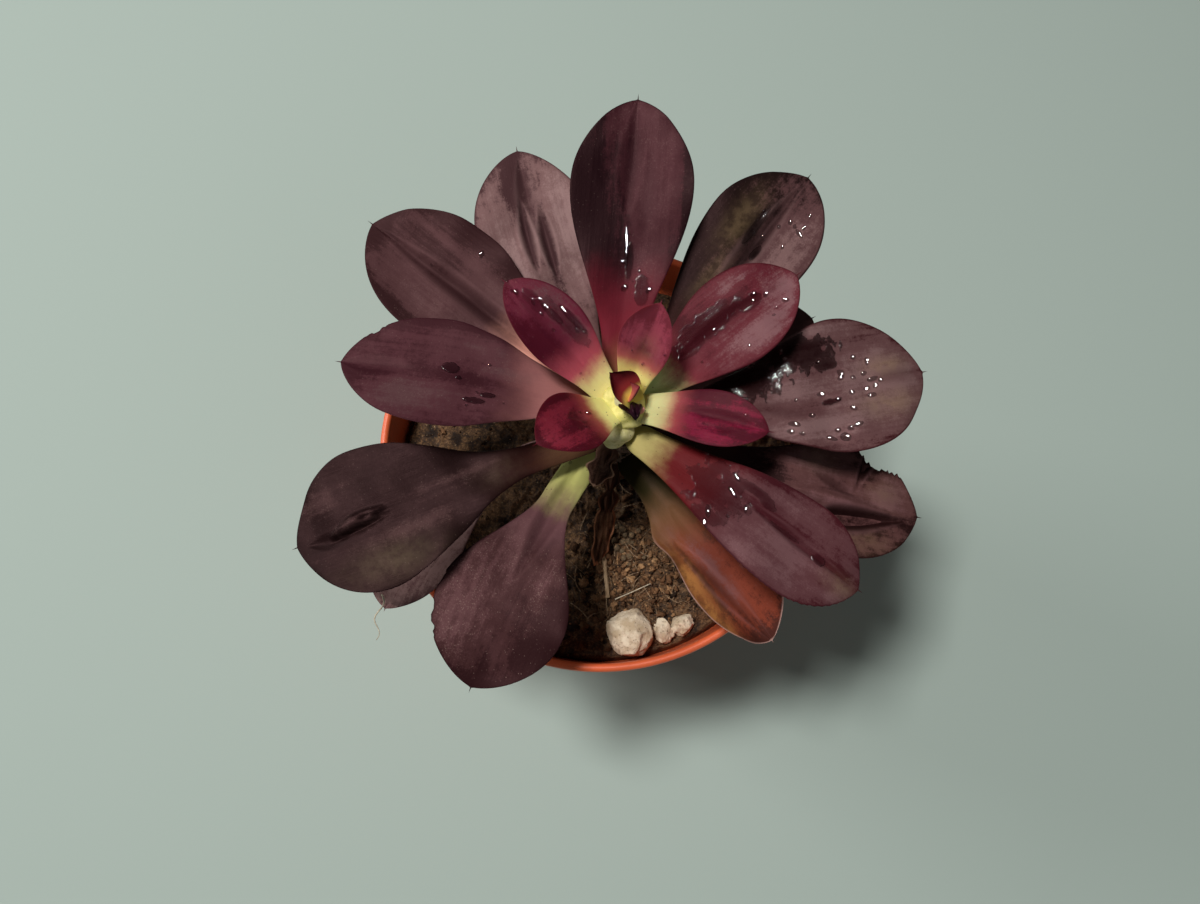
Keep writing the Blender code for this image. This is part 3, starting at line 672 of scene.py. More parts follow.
def sphere_mesh(around, along):
    """A plain sphere that is made once and then copied."""
    bm = bmesh.new()
    bmesh.ops.create_uvsphere(bm, u_segments=around, v_segments=along, radius=1)
    mesh = bpy.data.meshes.new("sphere")
    bm.to_mesh(mesh)
    bm.free()
    return mesh


BIG_SPHERE, SMALL_SPHERE = sphere_mesh(LEAF_AROUND, LEAF_ALONG), sphere_mesh(SMALL_AROUND, SMALL_ALONG)
FINE_SPHERE = sphere_mesh(FINE_AROUND, FINE_ALONG)


def leaf_mesh(name):
    """A sphere's bmesh, where a leaf's skin has its points, and the numbers at them."""
    bm = bmesh.new()
    if name in FINE_LEAVES:
        bm.from_mesh(FINE_SPHERE)
    else:
        bm.from_mesh(SMALL_SPHERE if LEAVES[name].width < SMALL_WIDTH else BIG_SPHERE)
    sphere = np.array([corner.co[:] for corner in bm.verts])
    share = (1 + sphere[:, 2]) / 2
    angle = np.arctan2(sphere[:, 1], sphere[:, 0])
    angle += CROWD * np.sin(2 * angle)
    return bm, *leaf_skin(name, share, angle)


# %% [markdown]
# ## Marks
# Each leaf has marks: darker and waxier places, tan ones where it is old, and wet ones where a film
# of water hides the wax. The darker places are partly pigment and partly painted shade, where a half
# faces away from the light or a neighbour shades it; the waxier ones are partly wax and partly
# painted sheen and highlight, on halves, tips and ridges that catch the light. The mesh says roughly
# where a mark lies and how strong it is, and noise in the material gives the mark its ragged edge.

# %% Where the leaves are dark or painted with shade, waxy or painted with sheen, tan and wet
# Dark pigment, and painted shade where a leaf faces away from the light or lies in a neighbour's shadow
PIGMENT_AND_SHADE = {  # share, side, and how far the mark reaches along and across in millimetres
    "leaf_01": ((0.45, -0.05, 3.0, 1.6), (0.92, 0.5, 3, 1.5)),
    "leaf_02": ((0.62, 0.15, 3, 1.4), (1.0, 0, 1.2, 7), (0.75, 0.95, 5, 0.8), (0.75, -0.95, 5, 0.8)),
    "leaf_03": ((0.62, 0.15, 8, 1.2), (0.76, -0.35, 5, 1.0), (0.45, 0.8, 8, 1.5)),
    "leaf_04": ((0.50, 0.55, 10, 2.4), (0.95, 0.3, 4, 3)),
    "leaf_05": ((0.58, 0.25, 9, 2.6), (0.40, 0.6, 8, 2.5)),
    "leaf_06": ((0.55, 0.0, 16, 2.0), (0.95, 0.6, 7, 3), (0.60, -0.9, 16, 1.6)),
    "leaf_07": ((0.60, 0.22, 9, 0.9), (0.86, 0.1, 5, 1.2), (0.86, -0.45, 3, 1.2), (0.55, 0.85, 9, 1.5)),
    # painted shade: the left half of leaf_08, which faces away from the light
    "leaf_08": ((0.62, 0.75, 24, 8), (0.36, 0.6, 9, 4), (0.45, 0.1, 10, 1.8), (0.72, -0.9, 14, 1.6)),
    "leaf_10": ((0.70, 0.90, 18, 2.5), (0.70, -0.85, 18, 4.0), (0.78, -0.3, 10, 2.0), (0.98, 0, 4, 6)),
    # painted shadow: leaf_11's neck and left side, in the shade of its neighbours
    "leaf_11": ((0.60, 0.80, 24, 6.5), (0.78, 0.2, 7, 1.0), (0.38, 0.3, 11, 6), (0.5, 0.95, 16, 5)),
    "leaf_12": ((0.55, 0.9, 20, 3), (0.5, -0.7, 14, 3), (0.94, 0.12, 5, 1.6)),
    "leaf_13": ((0.74, -0.34, 9, 1.6), (0.38, 0.3, 10, 6), (0.9, -0.25, 5, 1.5), (0.80, 0.6, 3, 4)),
    "leaf_14": ((0.88, 0.2, 8, 3.0), (0.67, 0.16, 6, 0.8), (0.66, -0.16, 6, 0.9)),
    "leaf_15": ((0.75, 0.75, 16, 6), (1.0, 0.1, 6, 12), (0.35, 0.6, 8, 2)),
    # painted shade along the valley where leaf_17's right margin curls up
    "leaf_17": ((0.70, 0.9, 12, 2.0), (1.0, 0.5, 5, 5), (0.62, -0.42, 12, 0.7)),
}
# Wax bloom, and painted sheen and highlight: the right half and tip of leaf_08 and the ridges of leaf_12 and
# leaf_13 are painted lighter where they catch the light
WAX_AND_SHEEN = {
    "leaf_04": ((0.74, -0.65, 11, 3.2), (0.45, -0.6, 5, 2), (0.92, 0, 4, 5)),
    "leaf_05": ((0.72, -0.55, 10, 3.5), (0.90, 0, 5, 8), (0.75, 0.7, 6, 2)),
    "leaf_06": ((0.76, 0.45, 8, 4), (0.35, -0.2, 9, 3)),
    "leaf_07": ((0.72, -0.15, 9, 3.0), (0.62, -0.75, 12, 2.5), (0.62, 0.7, 7, 2.5), (0.9, -0.5, 6, 3)),
    "leaf_08": ((0.78, -0.35, 15, 5.5), (0.94, 0.1, 5, 8), (0.42, -0.5, 7, 3)),
    "leaf_09": ((0.84, -0.1, 9, 8), (0.62, 0.95, 12, 1.6), (0.60, -0.6, 12, 3.5), (0.55, 0, 6, 2)),
    "leaf_10": ((0.60, 0.45, 16, 4.0), (0.38, 0.1, 9, 2.5), (0.5, -0.35, 9, 2.5)),
    "leaf_11": ((0.72, -0.55, 12, 4.5),),
    "leaf_12": ((0.66, 0.35, 10, 2), (0.9, -0.6, 8, 3), (0.81, -0.02, 5, 1.4), (0.5, -0.2, 9, 2)),
    "leaf_13": ((0.86, 0.25, 6, 4), (0.57, 0.65, 7, 3), (0.7, -0.08, 7, 1.0)),
    "leaf_14": ((0.55, 0.6, 14, 3.5), (0.7, -0.6, 12, 3.5)),
    "leaf_15": ((0.45, -0.3, 11, 3.5), (0.75, -0.55, 12, 5), (0.60, 0.5, 7, 2.5)),
    "leaf_17": ((0.34, -0.85, 6, 2.5), (0.62, -0.1, 9, 1.6)),
}
TAN = {
    "leaf_01": ((0.52, -0.1, 3.2, 2.0),),
    "leaf_07": ((0.92, -0.25, 3.5, 2.0),),
    "leaf_09": ((0.87, 0.22, 4, 2.0), (0.85, -0.42, 5, 2.5)),
    "leaf_11": ((0.74, 0.45, 7, 2.5), (0.52, 0.3, 7, 2.0)),
    "leaf_12": ((0.74, 0.65, 8, 3.5), (0.3, 0.2, 6, 3)),
    "leaf_13": ((0.60, 0.65, 4, 2.5), (0.87, 0.35, 4, 3), (0.8, -0.65, 6, 3)),
    "leaf_17": ((0.55, -0.72, 9, 2.4), (0.72, -0.76, 9, 2.0)),
}
WET = {
    "leaf_04": ((0.55, -0.45, 6, 1.6), (0.80, -0.2, 3, 1.4)),
    "leaf_05": ((0.50, 0.30, 7, 2.4), (0.74, 0.1, 2.5, 1.5), (0.36, 0.1, 3, 1.2)),
    "leaf_06": ((0.606, -0.13, 1.7, 1.2), (0.57, 0.04, 0.7, 0.5), (0.50, 0.48, 2.2, 0.7),
                (0.45, 0.36, 1.6, 0.6)),
    "leaf_07": ((0.38, 0.05, 6, 4.5), (0.40, -0.75, 3.5, 1.4), (0.50, 0.5, 4, 1.0), (0.556, 0.371, 2, 0.8),
                (0.813, 0.03, 1.6, 1.1), (0.66, 0.1, 4, 0.6)),
    "leaf_08": ((0.46, -0.05, 4, 0.9), (0.36, -0.5, 3, 1.5)),
    "leaf_09": ((0.37, 0.65, 8, 4.0), (0.56, 0.66, 8, 3.6), (0.655, -0.22, 2.0, 0.6), (0.66, 0.35, 2.5, 1.2),
                (0.30, -0.1, 5, 2.4)),
    "leaf_11": ((0.76, 0.2, 5, 0.8), (0.68, -0.1, 2, 0.8)),
}


def how_near(name, numbers, marks):
    """The least distance of each point to a leaf's marks, where 1 is a mark's border, squared."""
    nearest = np.full(len(numbers["share"]), 99.0)
    length = leaf_length(LEAVES[name])
    for share, side, reach, spread in marks.get(name, ()):
        middle = side * leaf_outline(LEAVES[name], np.array([share]))[0][0]
        away = ((numbers["blade"][:, 0] - share * length) / reach) ** 2
        away += ((numbers["blade"][:, 1] - middle) / spread) ** 2
        nearest = np.minimum(nearest, away)
    return np.where(numbers["top"] > 0.5, nearest, 99.0)


def marked(name, numbers):
    """The numbers with the marks added, from 0 to 1."""
    soft = {"deep": PIGMENT_AND_SHADE, "bloom_and_sheen": WAX_AND_SHEEN, "tan": TAN}
    for key, marks in soft.items():
        numbers[key] = np.exp(-how_near(name, numbers, marks))
    numbers["wet"] = np.clip(1.2 - how_near(name, numbers, WET), 0, 1)
    return numbers


print(sum(len(marks) for table in (PIGMENT_AND_SHADE, WAX_AND_SHEEN, TAN, WET) for marks in table.values()), "marks")

# %% [markdown]
# ## The skin's finish
# Each leaf fades from a pale base through a red zone to a dark blade. A thin wax lies over it: it
# gives the dusty sheen, and it is rubbed off in places. Sheen and shade are also painted into the
# colour: lighter on the waxy marks and the lips beside the folds, darker on the shaded marks and in
# the creases. All of that is a chain of masks on the numbers that the mesh carries, so it follows the
# leaf instead of the room. The chain is the same for all leaves, and only the colours and strengths
# differ.

# %% The colours of each leaf
@dataclass
class Tint:
    """A leaf's colours, from its base to its blade, and the blade's darkest and waxiest places, which also
    serve as painted shade and painted sheen.
    """

    base: tuple
    blush: tuple
    blade: tuple
    deep: tuple
    bloom_and_sheen: tuple
    base_end: float = 0.12  # shares of the length where one colour gives way to the next
    blush_end: float = 0.32
    speckle: float = 0.25
    rough: float = 0.55
    glow: float = 0.0  # how much light passes through
    tan: tuple = (0.20, 0.135, 0.070)
    tan_share: float = 0.45
    edge: tuple = ()  # of the thin margin, where it isn't the darkest colour


TINTS = {
    "leaf_01": Tint((0.85, 0.74, 0.26), (0.50, 0.13, 0.11), (0.28, 0.048, 0.076), (0.15, 0.022, 0.036),
                    (0.34, 0.095, 0.12), 0.30, 0.42, glow=0.15),
    "leaf_02": Tint((0.86, 0.82, 0.30), (0.36, 0.075, 0.060), (0.165, 0.014, 0.028), (0.060, 0.004, 0.010),
                    (0.20, 0.028, 0.045), 0.26, 0.36, glow=0.12),
    "leaf_03": Tint((0.58, 0.56, 0.26), (0.36, 0.075, 0.075), (0.165, 0.009, 0.031), (0.060, 0.004, 0.012),
                    (0.19, 0.036, 0.056), 0.22, 0.32, glow=0.12),
    "leaf_04": Tint((0.90, 0.82, 0.36), (0.46, 0.080, 0.110), (0.122, 0.016, 0.033), (0.066, 0.005, 0.014),
                    (0.118, 0.050, 0.058), 0.20, 0.38, glow=0.08),
    "leaf_05": Tint((0.38, 0.50, 0.20), (0.17, 0.020, 0.030), (0.095, 0.013, 0.021), (0.045, 0.003, 0.007),
                    (0.165, 0.075, 0.083), 0.20, 0.30, glow=0.05),
    "leaf_06": Tint((0.07, 0.03, 0.015), (0.31, 0.125, 0.118), (0.066, 0.021, 0.027), (0.034, 0.008, 0.012),
                    (0.084, 0.038, 0.042), 0.10, 0.32),
    "leaf_07": Tint((0.44, 0.38, 0.14), (0.105, 0.006, 0.008), (0.100, 0.038, 0.043), (0.050, 0.008, 0.012),
                    (0.150, 0.071, 0.077), 0.15, 0.37),
    "leaf_08": Tint((0.30, 0.12, 0.06), (0.150, 0.013, 0.024), (0.040, 0.010, 0.014), (0.008, 0.0015, 0.003),
                    (0.064, 0.021, 0.026), 0.13, 0.36),
    "leaf_09": Tint((0.06, 0.020, 0.018), (0.05, 0.012, 0.012), (0.100, 0.048, 0.049), (0.030, 0.004, 0.006),
                    (0.155, 0.090, 0.090), 0.12, 0.34),
    # leaf_10's blush is painted lighter, a painted light where leaf_04 shades its base
    "leaf_10": Tint((0.50, 0.30, 0.17), (0.78, 0.36, 0.28), (0.068, 0.029, 0.031), (0.024, 0.008, 0.009),
                    (0.095, 0.045, 0.047), 0.18, 0.36),
    "leaf_11": Tint((0.05, 0.02, 0.018), (0.045, 0.014, 0.012), (0.068, 0.031, 0.032), (0.005, 0.002, 0.002),
                    (0.150, 0.086, 0.084)),
    # leaf_12 is painted darker, a painted shade for a leaf that faces away from the light
    "leaf_12": Tint((0.085, 0.040, 0.020), (0.022, 0.005, 0.0045), (0.0108, 0.0043, 0.0045),
                    (0.006, 0.002, 0.002), (0.043, 0.021, 0.021), 0.20, 0.33, tan=(0.10, 0.078, 0.045)),
    "leaf_13": Tint((0.05, 0.03, 0.02), (0.07, 0.032, 0.026), (0.090, 0.038, 0.037), (0.016, 0.005, 0.005),
                    (0.150, 0.070, 0.074), tan_share=0.26),
    "leaf_14": Tint((0.30, 0.15, 0.13), (0.19, 0.10, 0.095), (0.168, 0.094, 0.092), (0.046, 0.020, 0.022),
                    (0.270, 0.170, 0.165)),
    "leaf_15": Tint((0.40, 0.40, 0.13), (0.115, 0.050, 0.056), (0.045, 0.017, 0.018), (0.018, 0.005, 0.006),
                    (0.100, 0.044, 0.047), 0.26, 0.40, speckle=0.8),
    "leaf_16": Tint((0.12, 0.05, 0.04), (0.06, 0.025, 0.025), (0.05, 0.02, 0.02), (0.02, 0.008, 0.008),
                    (0.08, 0.035, 0.035)),
    "leaf_17": Tint((0.035, 0.030, 0.010), (0.16, 0.075, 0.034), (0.235, 0.049, 0.026),
                    (0.075, 0.022, 0.016), (0.24, 0.095, 0.090), 0.26, 0.42, tan=(0.62, 0.27, 0.080),
                    tan_share=0.95, edge=(0.62, 0.38, 0.33)),
    # leaf_18 is painted several times lighter, a painted light where it lies in leaf_12's shadow
    "leaf_18": Tint((0.50, 0.30, 0.28), (0.50, 0.30, 0.28), (0.50, 0.30, 0.28), (0.24, 0.12, 0.12),
                    (0.60, 0.40, 0.37)),
    "tip_leaf_1": Tint((0.80, 0.68, 0.14), (0.27, 0.030, 0.030), (0.115, 0.008, 0.013), (0.05, 0.004, 0.007),
                       (0.15, 0.02, 0.03), 0.38, 0.60),
    "tip_leaf_2": Tint((0.75, 0.42, 0.16), (0.50, 0.13, 0.10), (0.42, 0.09, 0.10), (0.20, 0.02, 0.03),
                       (0.60, 0.25, 0.24), 0.3, 0.6),
    "tip_leaf_3": Tint((0.08, 0.03, 0.04), (0.04, 0.012, 0.02), (0.026, 0.006, 0.014), (0.008, 0.002, 0.005),
                       (0.08, 0.03, 0.05), rough=0.35),
    "dead_leaf_1": Tint((0.08, 0.04, 0.025), (0.08, 0.035, 0.02), (0.08, 0.036, 0.018), (0.02, 0.008, 0.004),
                        (0.20, 0.10, 0.055), rough=0.7, edge=(0.42, 0.18, 0.09)),
    "dead_leaf_2": Tint((0.14, 0.07, 0.05), (0.12, 0.06, 0.04), (0.11, 0.058, 0.040), (0.03, 0.012, 0.008),
                        (0.28, 0.17, 0.12), rough=0.6, edge=(0.40, 0.24, 0.16)),
}
print(len(TINTS), "tints")

# %% A leaf's skin, from its masks
SPECK = (0.34, 0.24, 0.20)  # of dust on the wax
DOT = (0.06, 0.045, 0.02)  # of the dots on a pale base
EDGE_LINE = 0.5
SHEEN_TINT = (1.0, 0.55, 0.56, 1)


def leaf_finish(name):
    """The material of one leaf."""
    tint = TINTS[name]
    skin = Recipe(f"{name}_skin", specular_ior_level=0.17, specular_tint=SHEEN_TINT,
                  subsurface_scale=0.003, subsurface_weight=tint.glow)
    blade = skin.place(1.0, "blade")
    share, margin = skin.attribute("share"), skin.attribute("margin")
    clouds = skin.noise(blade, 8, 3)
    blots = skin.noise(blade, 2.4, 5, 0.65)
    dapple = skin.noise(blade, 0.9, 3, 0.7)
    grain = skin.noise(blade, 0.3, 2, 0.6)
    veins = skin.noise(skin.stretched(blade, (0.05, 1, 1)), 1.5, 4, 0.65)
    # Painted sheen and painted shade: the marks lighten and darken the tone, along with the wax and pigment.
    tone = 0.38 + (skin.attribute("bloom_and_sheen") - skin.attribute("deep")) * 0.62
    tone = tone + (veins - 0.5) * 1.1 + (blots - 0.5) * 0.9 + (dapple - 0.5) * 0.6 + (grain - 0.5) * 0.35
    tone = tone + (clouds - 0.5) * 0.8 - margin.between(2.5, 0.0) * 0.22
    face = skin.mix(tone.between(-0.05, 0.45), tint.deep, tint.blade)
    face = skin.mix(tone.between(0.45, 1.05) * skin.attribute("top"), face, tint.bloom_and_sheen)
    tan = skin.attribute("tan") * (0.4 + blots.between(0.35, 0.6) * 0.6)
    face = skin.mix(tan * tint.tan_share, face, tint.tan)
    dust = skin.cells(blade, 0.75).between(0.17, 0.07) * blots.between(0.40, 0.60)
    specks = grain.between(0.55, 0.70) * blots.between(0.42, 0.62) * skin.attribute("bloom_and_sheen")
    specks = specks * 0.45 + dust * 0.6
    face = skin.mix(specks * (skin.attribute("top") * tint.speckle), face, SPECK)
    face = skin.mix(margin.between(EDGE_LINE, 0.3 * EDGE_LINE) * 0.75, face, tint.edge or tint.deep)
    # Painted highlight on the lips beside the folds, and painted shade in their creases.
    face = skin.mix(skin.attribute("lip") * 0.6, face, tint.bloom_and_sheen)
    face = skin.mix(skin.attribute("crease") * 0.9, face, tint.deep)
    face = skin.mix(skin.attribute("wet") * (0.45 + blots.between(0.4, 0.6) * 0.45), face, tint.deep)
    along = share + (clouds - 0.5) * 0.16 + (veins - 0.5) * 0.05 + (dapple - 0.5) * 0.04
    base_end, blush_end = tint.base_end, tint.blush_end
    dots = skin.cells(blade, 1.4).between(0.13, 0.06) * skin.attribute("top")
    flesh = skin.mix(dots * 0.8, tint.base, DOT)
    colour = skin.mix(along.between(base_end - 0.11, base_end + 0.09), flesh, tint.blush)
    colour = skin.mix(along.between(blush_end - 0.13, blush_end + 0.13), colour, face)
    rough = tint.rough + (dapple - 0.5) * 0.2
    relief = grain * 0.2 + veins * 0.6 + dapple * 0.25
    return skin.wear(base_color=colour, roughness=rough, normal=skin.bump(relief, 0.14))


for name in LEAVES:
    bm, points, numbers = leaf_mesh(name)
    numbers = marked(name, numbers)
    make_piece(f"{name}_fine", bm, leaf_finish(name), (name,), numbers, points)
print(len(LEAVES), "leaves dressed")

# %% [markdown]
# ## Water
# The plant has just been watered. Where the wax is whole, water stands in beads; where it is rubbed
# off, water lies in thin films with ragged shores, which darken the skin. A film is a fine grid over
# the leaf's upper face. It is kept where the leaf is wet and lifted there, and its rounded shore
# catches the light. A bead is a flattened ball half sunk in the skin. Water is see-through by its
# alpha: clear in the middle of a bead, and darker at its rim, which paints a shade round its foot.
# A leaf's beads are one piece, and its films another.

# %% Where the drops are
@dataclass
class Drop:
    """A drop on a leaf's upper face: its place, and how long and wide it is in millimetres."""

    share: float
    side: float
    long: float = 0.8
    wide: float = 0.8
    turn: float = 0  # degrees from the leaf's own length


DROPS = {
    "leaf_01": (Drop(0.58, -0.85, 0.4, 0.4), Drop(0.34, -0.20, 0.5, 0.5), Drop(0.45, 0.4, 0.3, 0.3)),
    "leaf_02": (Drop(0.34, -0.18, 1.1, 0.6, 30), Drop(0.42, -0.3, 0.4, 0.4), Drop(0.5, 0.3, 0.35, 0.35)),
    "leaf_03": (Drop(0.51, -0.26, 0.5, 0.5), Drop(0.78, 0.4, 0.35, 0.35)),
    "leaf_04": (Drop(0.53, -0.62, 5.6, 1.3, -6), Drop(0.63, -0.28, 4.0, 1.4, -4), Drop(0.56, 0.0, 0.7, 0.6),
                Drop(0.68, -0.07, 0.8, 0.5), Drop(0.77, -0.17, 1.2, 0.6, 40),
                Drop(0.75, -0.36, 1.0, 0.5, 60),
                Drop(0.88, 0.0, 1.2, 0.8, 50), Drop(0.90, 0.15, 0.6, 0.5), Drop(0.955, -0.6, 0.5, 0.5),
                Drop(0.46, -0.52, 1.4, 0.5, 10), Drop(0.42, -0.66, 0.9, 0.4, -10),
                Drop(0.25, 0.45, 0.4, 0.4)),
    "leaf_05": (Drop(0.755, 0.22, 1.1, 1.0), Drop(0.733, 0.09, 0.7, 0.6), Drop(0.80, 0.05, 1.0, 0.9),
                Drop(0.855, -0.44, 1.1, 0.8, 60), Drop(0.50, 0.12, 0.5, 0.5), Drop(0.59, -0.64, 0.6, 0.5),
                Drop(0.80, -0.39, 0.4, 0.4), Drop(0.767, -0.48, 0.6, 0.35, 40), Drop(0.36, -0.39, 0.5, 0.4)),
    "leaf_06": (Drop(0.51, 0.58, 0.5, 0.4), Drop(0.48, 0.30, 0.4, 0.4), Drop(0.45, -0.37, 0.5, 0.5),
                Drop(0.38, 0.55, 0.35, 0.35)),
    "leaf_07": (Drop(0.40, 0.60, 1.8, 0.7, 30), Drop(0.415, 0.20, 2.0, 0.8, 20),
                Drop(0.386, -0.65, 2.2, 0.9, 50), Drop(0.486, 0.01, 1.3, 0.6, 60),
                Drop(0.40, -0.93, 1.6, 0.7, 30), Drop(0.45, -0.4, 0.8, 0.5)),
    "leaf_08": (Drop(0.485, 0.02, 5.4, 0.9), Drop(0.525, 0.05, 3.0, 0.6),
                Drop(0.357, 0.01, 1.4, 1.0, 60), Drop(0.353, -0.70, 1.2, 0.9, 40),
                Drop(0.415, -0.33, 0.6, 0.5), Drop(0.444, 0.09, 0.9, 0.6), Drop(0.38, -0.2, 0.35, 0.35)),
    "leaf_09": (Drop(0.751, 0.39, 0.9, 0.9), Drop(0.796, 0.32, 1.2, 0.8, 80),
                Drop(0.697, 0.18, 1.5, 1.1, 70),
                Drop(0.775, 0.13, 1.0, 0.8), Drop(0.734, 0.09, 0.9, 0.7, 60), Drop(0.80, 0.03, 2.2, 0.8, -5),
                Drop(0.827, -0.01, 1.0, 0.7), Drop(0.804, -0.09, 0.9, 0.8), Drop(0.771, -0.11, 1.0, 0.7),
                Drop(0.717, -0.13, 1.0, 0.9), Drop(0.78, -0.22, 1.7, 0.9, 15),
                Drop(0.614, -0.09, 1.5, 0.8, 10),
                Drop(0.668, -0.20, 1.0, 0.8), Drop(0.527, -0.13, 0.8, 0.6), Drop(0.709, -0.37, 1.3, 0.8, 20),
                Drop(0.568, -0.43, 1.1, 0.9), Drop(0.506, -0.62, 2.2, 0.9, 10),
                Drop(0.49, -0.78, 1.4, 0.9, 10), Drop(0.523, -0.79, 1.0, 0.8),
                Drop(0.709, -0.61, 1.7, 0.8, -20), Drop(0.68, -0.65, 1.2, 0.9, 20),
                Drop(0.639, -0.67, 1.1, 0.8), Drop(0.659, -0.78, 1.8, 1.4, 10),
                Drop(0.614, -0.80, 1.7, 0.8, 10),
                Drop(0.693, 0.11, 1.2, 1.0), Drop(0.626, 0.41, 0.9, 0.7), Drop(0.51, 0.83, 0.7, 0.6),
                Drop(0.514, 0.65, 0.8, 0.6), Drop(0.32, 0.44, 0.7, 0.4)),
    "leaf_10": (Drop(0.64, -0.68, 1.3, 0.9, 70), Drop(0.75, -0.07, 0.4, 0.4), Drop(0.283, 0.55, 0.5, 0.4)),
    "leaf_11": (Drop(0.80, -0.54, 1.8, 0.9, -60), Drop(0.825, -0.57, 1.0, 0.7), Drop(0.817, -0.28, 0.9, 0.8),
                Drop(0.784, -0.15, 0.8, 0.7), Drop(0.813, -0.40, 0.7, 0.6), Drop(0.87, -0.6, 0.7, 0.6),
                Drop(0.80, 0.26, 0.9, 0.5, 20), Drop(0.734, 0.01, 0.6, 0.5), Drop(0.73, -0.42, 0.6, 0.6)),
    "leaf_15": (Drop(0.125, -0.6, 0.7, 0.6),),
}
print(sum(map(len, DROPS.values())), "drops on", len(DROPS), "leaves")

# %% How wet a place is, and the sheet over it
OPACITY = {  # of each leaf's films
    "leaf_04": 0.22, "leaf_05": 0.26, "leaf_06": 0.5, "leaf_07": 0.26, "leaf_08": 0.3,
    "leaf_09": 0.5, "leaf_11": 0.3,
}
FIRM = 4.0  # films narrower than this keep their outline better
FILM_STEP = 0.2  # between the points of a film's grid
FILM_THICK = 0.30
SHEET_EDGE = -0.4  # the wetness down to which a film's grid reaches, below the skin
SHORE = 0.3  # the wetness at which a film has its whole thickness
UNDER = 0.35  # how far a film's underside lies within the leaf


def wetness(name, along, across):
    """How wet each place on a blade is: where it is above 0 there is a film."""
    seed = list(LEAVES).index(name)
    path = np.stack((along, across), -1)
    spots = {"share": along, "blade": path, "top": np.ones(len(along))}
    wet = np.full(len(along), -9.0)
    for mark in WET[name]:
        wet = np.maximum(wet, (1 - how_near(name, spots, {name: (mark,)})) * max(1, FIRM / mark[3]))
    wet += 0.50 * ripple(path, 2.2, 60 + seed) + 0.32 * ripple(path, 1.0, 80 + seed)
    return wet + 0.16 * ripple(path, 0.5, 100 + seed)


def face_points(name, share, side):
    """Places on a leaf's upper face, with the directions along and out of the skin."""
    angle = np.arccos(side)
    points, _ = leaf_skin(name, share, angle)
    along = leaf_skin(name, share + 0.004, angle)[0] - points
    across = leaf_skin(name, share, angle + 0.03)[0] - points
    out = np.cross(along, across)
    return (points, along / np.linalg.norm(along, axis=1, keepdims=True),
            out / np.linalg.norm(out, axis=1, keepdims=True))


def closed_sheet(quads, corners):
    """The faces of a sheet, of its underside, and of the rim between them."""
    edges = np.concatenate([quads[:, (side, (side + 1) % 4)] for side in range(4)])
    known = set(map(tuple, edges.tolist()))
    rim = np.array([edge for edge in edges.tolist() if (edge[1], edge[0]) not in known])
    sides = np.stack((rim[:, 1], rim[:, 0], rim[:, 0] + corners, rim[:, 1] + corners), -1)
    return np.concatenate((quads, quads[:, ::-1] + corners, sides))


def film_sheet(name):
    """The places, faces and depth of the films on one leaf."""
    leaf = LEAVES[name]
    length, widest = leaf_length(leaf), leaf.width / 2
    along, across = np.meshgrid(np.arange(0.06 * length, 0.97 * length, FILM_STEP),
                                np.arange(-widest, widest, FILM_STEP), indexing="ij")
    grid = np.arange(along.size).reshape(along.shape)
    along, across = along.ravel(), across.ravel()
    half = leaf_outline(leaf, along / length)[0]
    wet = np.minimum(wetness(name, along, across), 0.93 * half - np.abs(across))
    quads = np.stack((grid[:-1, :-1], grid[:-1, 1:], grid[1:, 1:], grid[1:, :-1]), -1).reshape(-1, 4)
    used, quads = np.unique(quads[(wet[quads] > SHEET_EDGE).all(1)], return_inverse=True)
    share = along[used] / (length + LIVES.get(name, Life()).spine)
    side = np.clip(across[used] / half[used], -0.97, 0.97)
    places, _, out = face_points(name, share, side)
    wet = wet[used]
    rise = np.where(wet > 0, FILM_THICK * np.sqrt(np.clip(wet / SHORE, 0, 1)), np.clip(wet, -0.2, 0))
    points = np.concatenate((places + out * rise[:, None], places - out * UNDER))
    depth = np.tile(np.clip(0.55 + wet / SHORE, 0.55, 1), 2)
    return points, closed_sheet(quads.reshape(-1, 4), len(used)), depth


# %% Beads and films, leaf by leaf
DROP_HEIGHT = 0.5  # as a share of a drop's width
DROP_RISE = 0.12  # added to every drop's height
DROP_SUNK = 0.08
DROP_GROWN = 1.2  # how much larger the drops are than the table has them
# A bead is more opaque at its rim, where its near-black colour paints a shade round its foot.
CLEAR, RIM = 0.12, 0.28  # how opaque a bead is in its middle, and how much more so at its rim
BEAD_SHADE, FILM_SHADE = 0.01, 0.05  # of the skin's colour, which their own lights brighten

bm = bmesh.new()
bmesh.ops.create_icosphere(bm, subdivisions=3, radius=0.5)
BALL_MESH = bpy.data.meshes.new("ball")
bm.to_mesh(BALL_MESH)
bm.free()
BALL = np.array([corner.co[:] for corner in BALL_MESH.vertices])
BALL_VEIL = CLEAR + RIM * np.clip(1 - BALL[:, 2] / 0.35, 0, 1)


def drop_skin(name, drop, seed):
    """Where a ball's corners lie in a drop."""
    place, along, out = (values[0] for values in face_points(name, np.array([drop.share]),
                                                             np.array([drop.side])))
    turn = math.radians(drop.turn)
    aside = np.cross(out, along)
    along, aside = (along * math.cos(turn) + aside * math.sin(turn),
                    aside * math.cos(turn) - along * math.sin(turn))
    long, wide = drop.long * DROP_GROWN, drop.wide * DROP_GROWN
    height = DROP_HEIGHT * min(long, wide) + DROP_RISE
    ball = BALL * (1 + 0.16 * ripple(BALL, 0.5, seed)[:, None]) * (long, wide, 2 * height)
    return place - out * DROP_SUNK + ball @ np.array((along, aside, out))


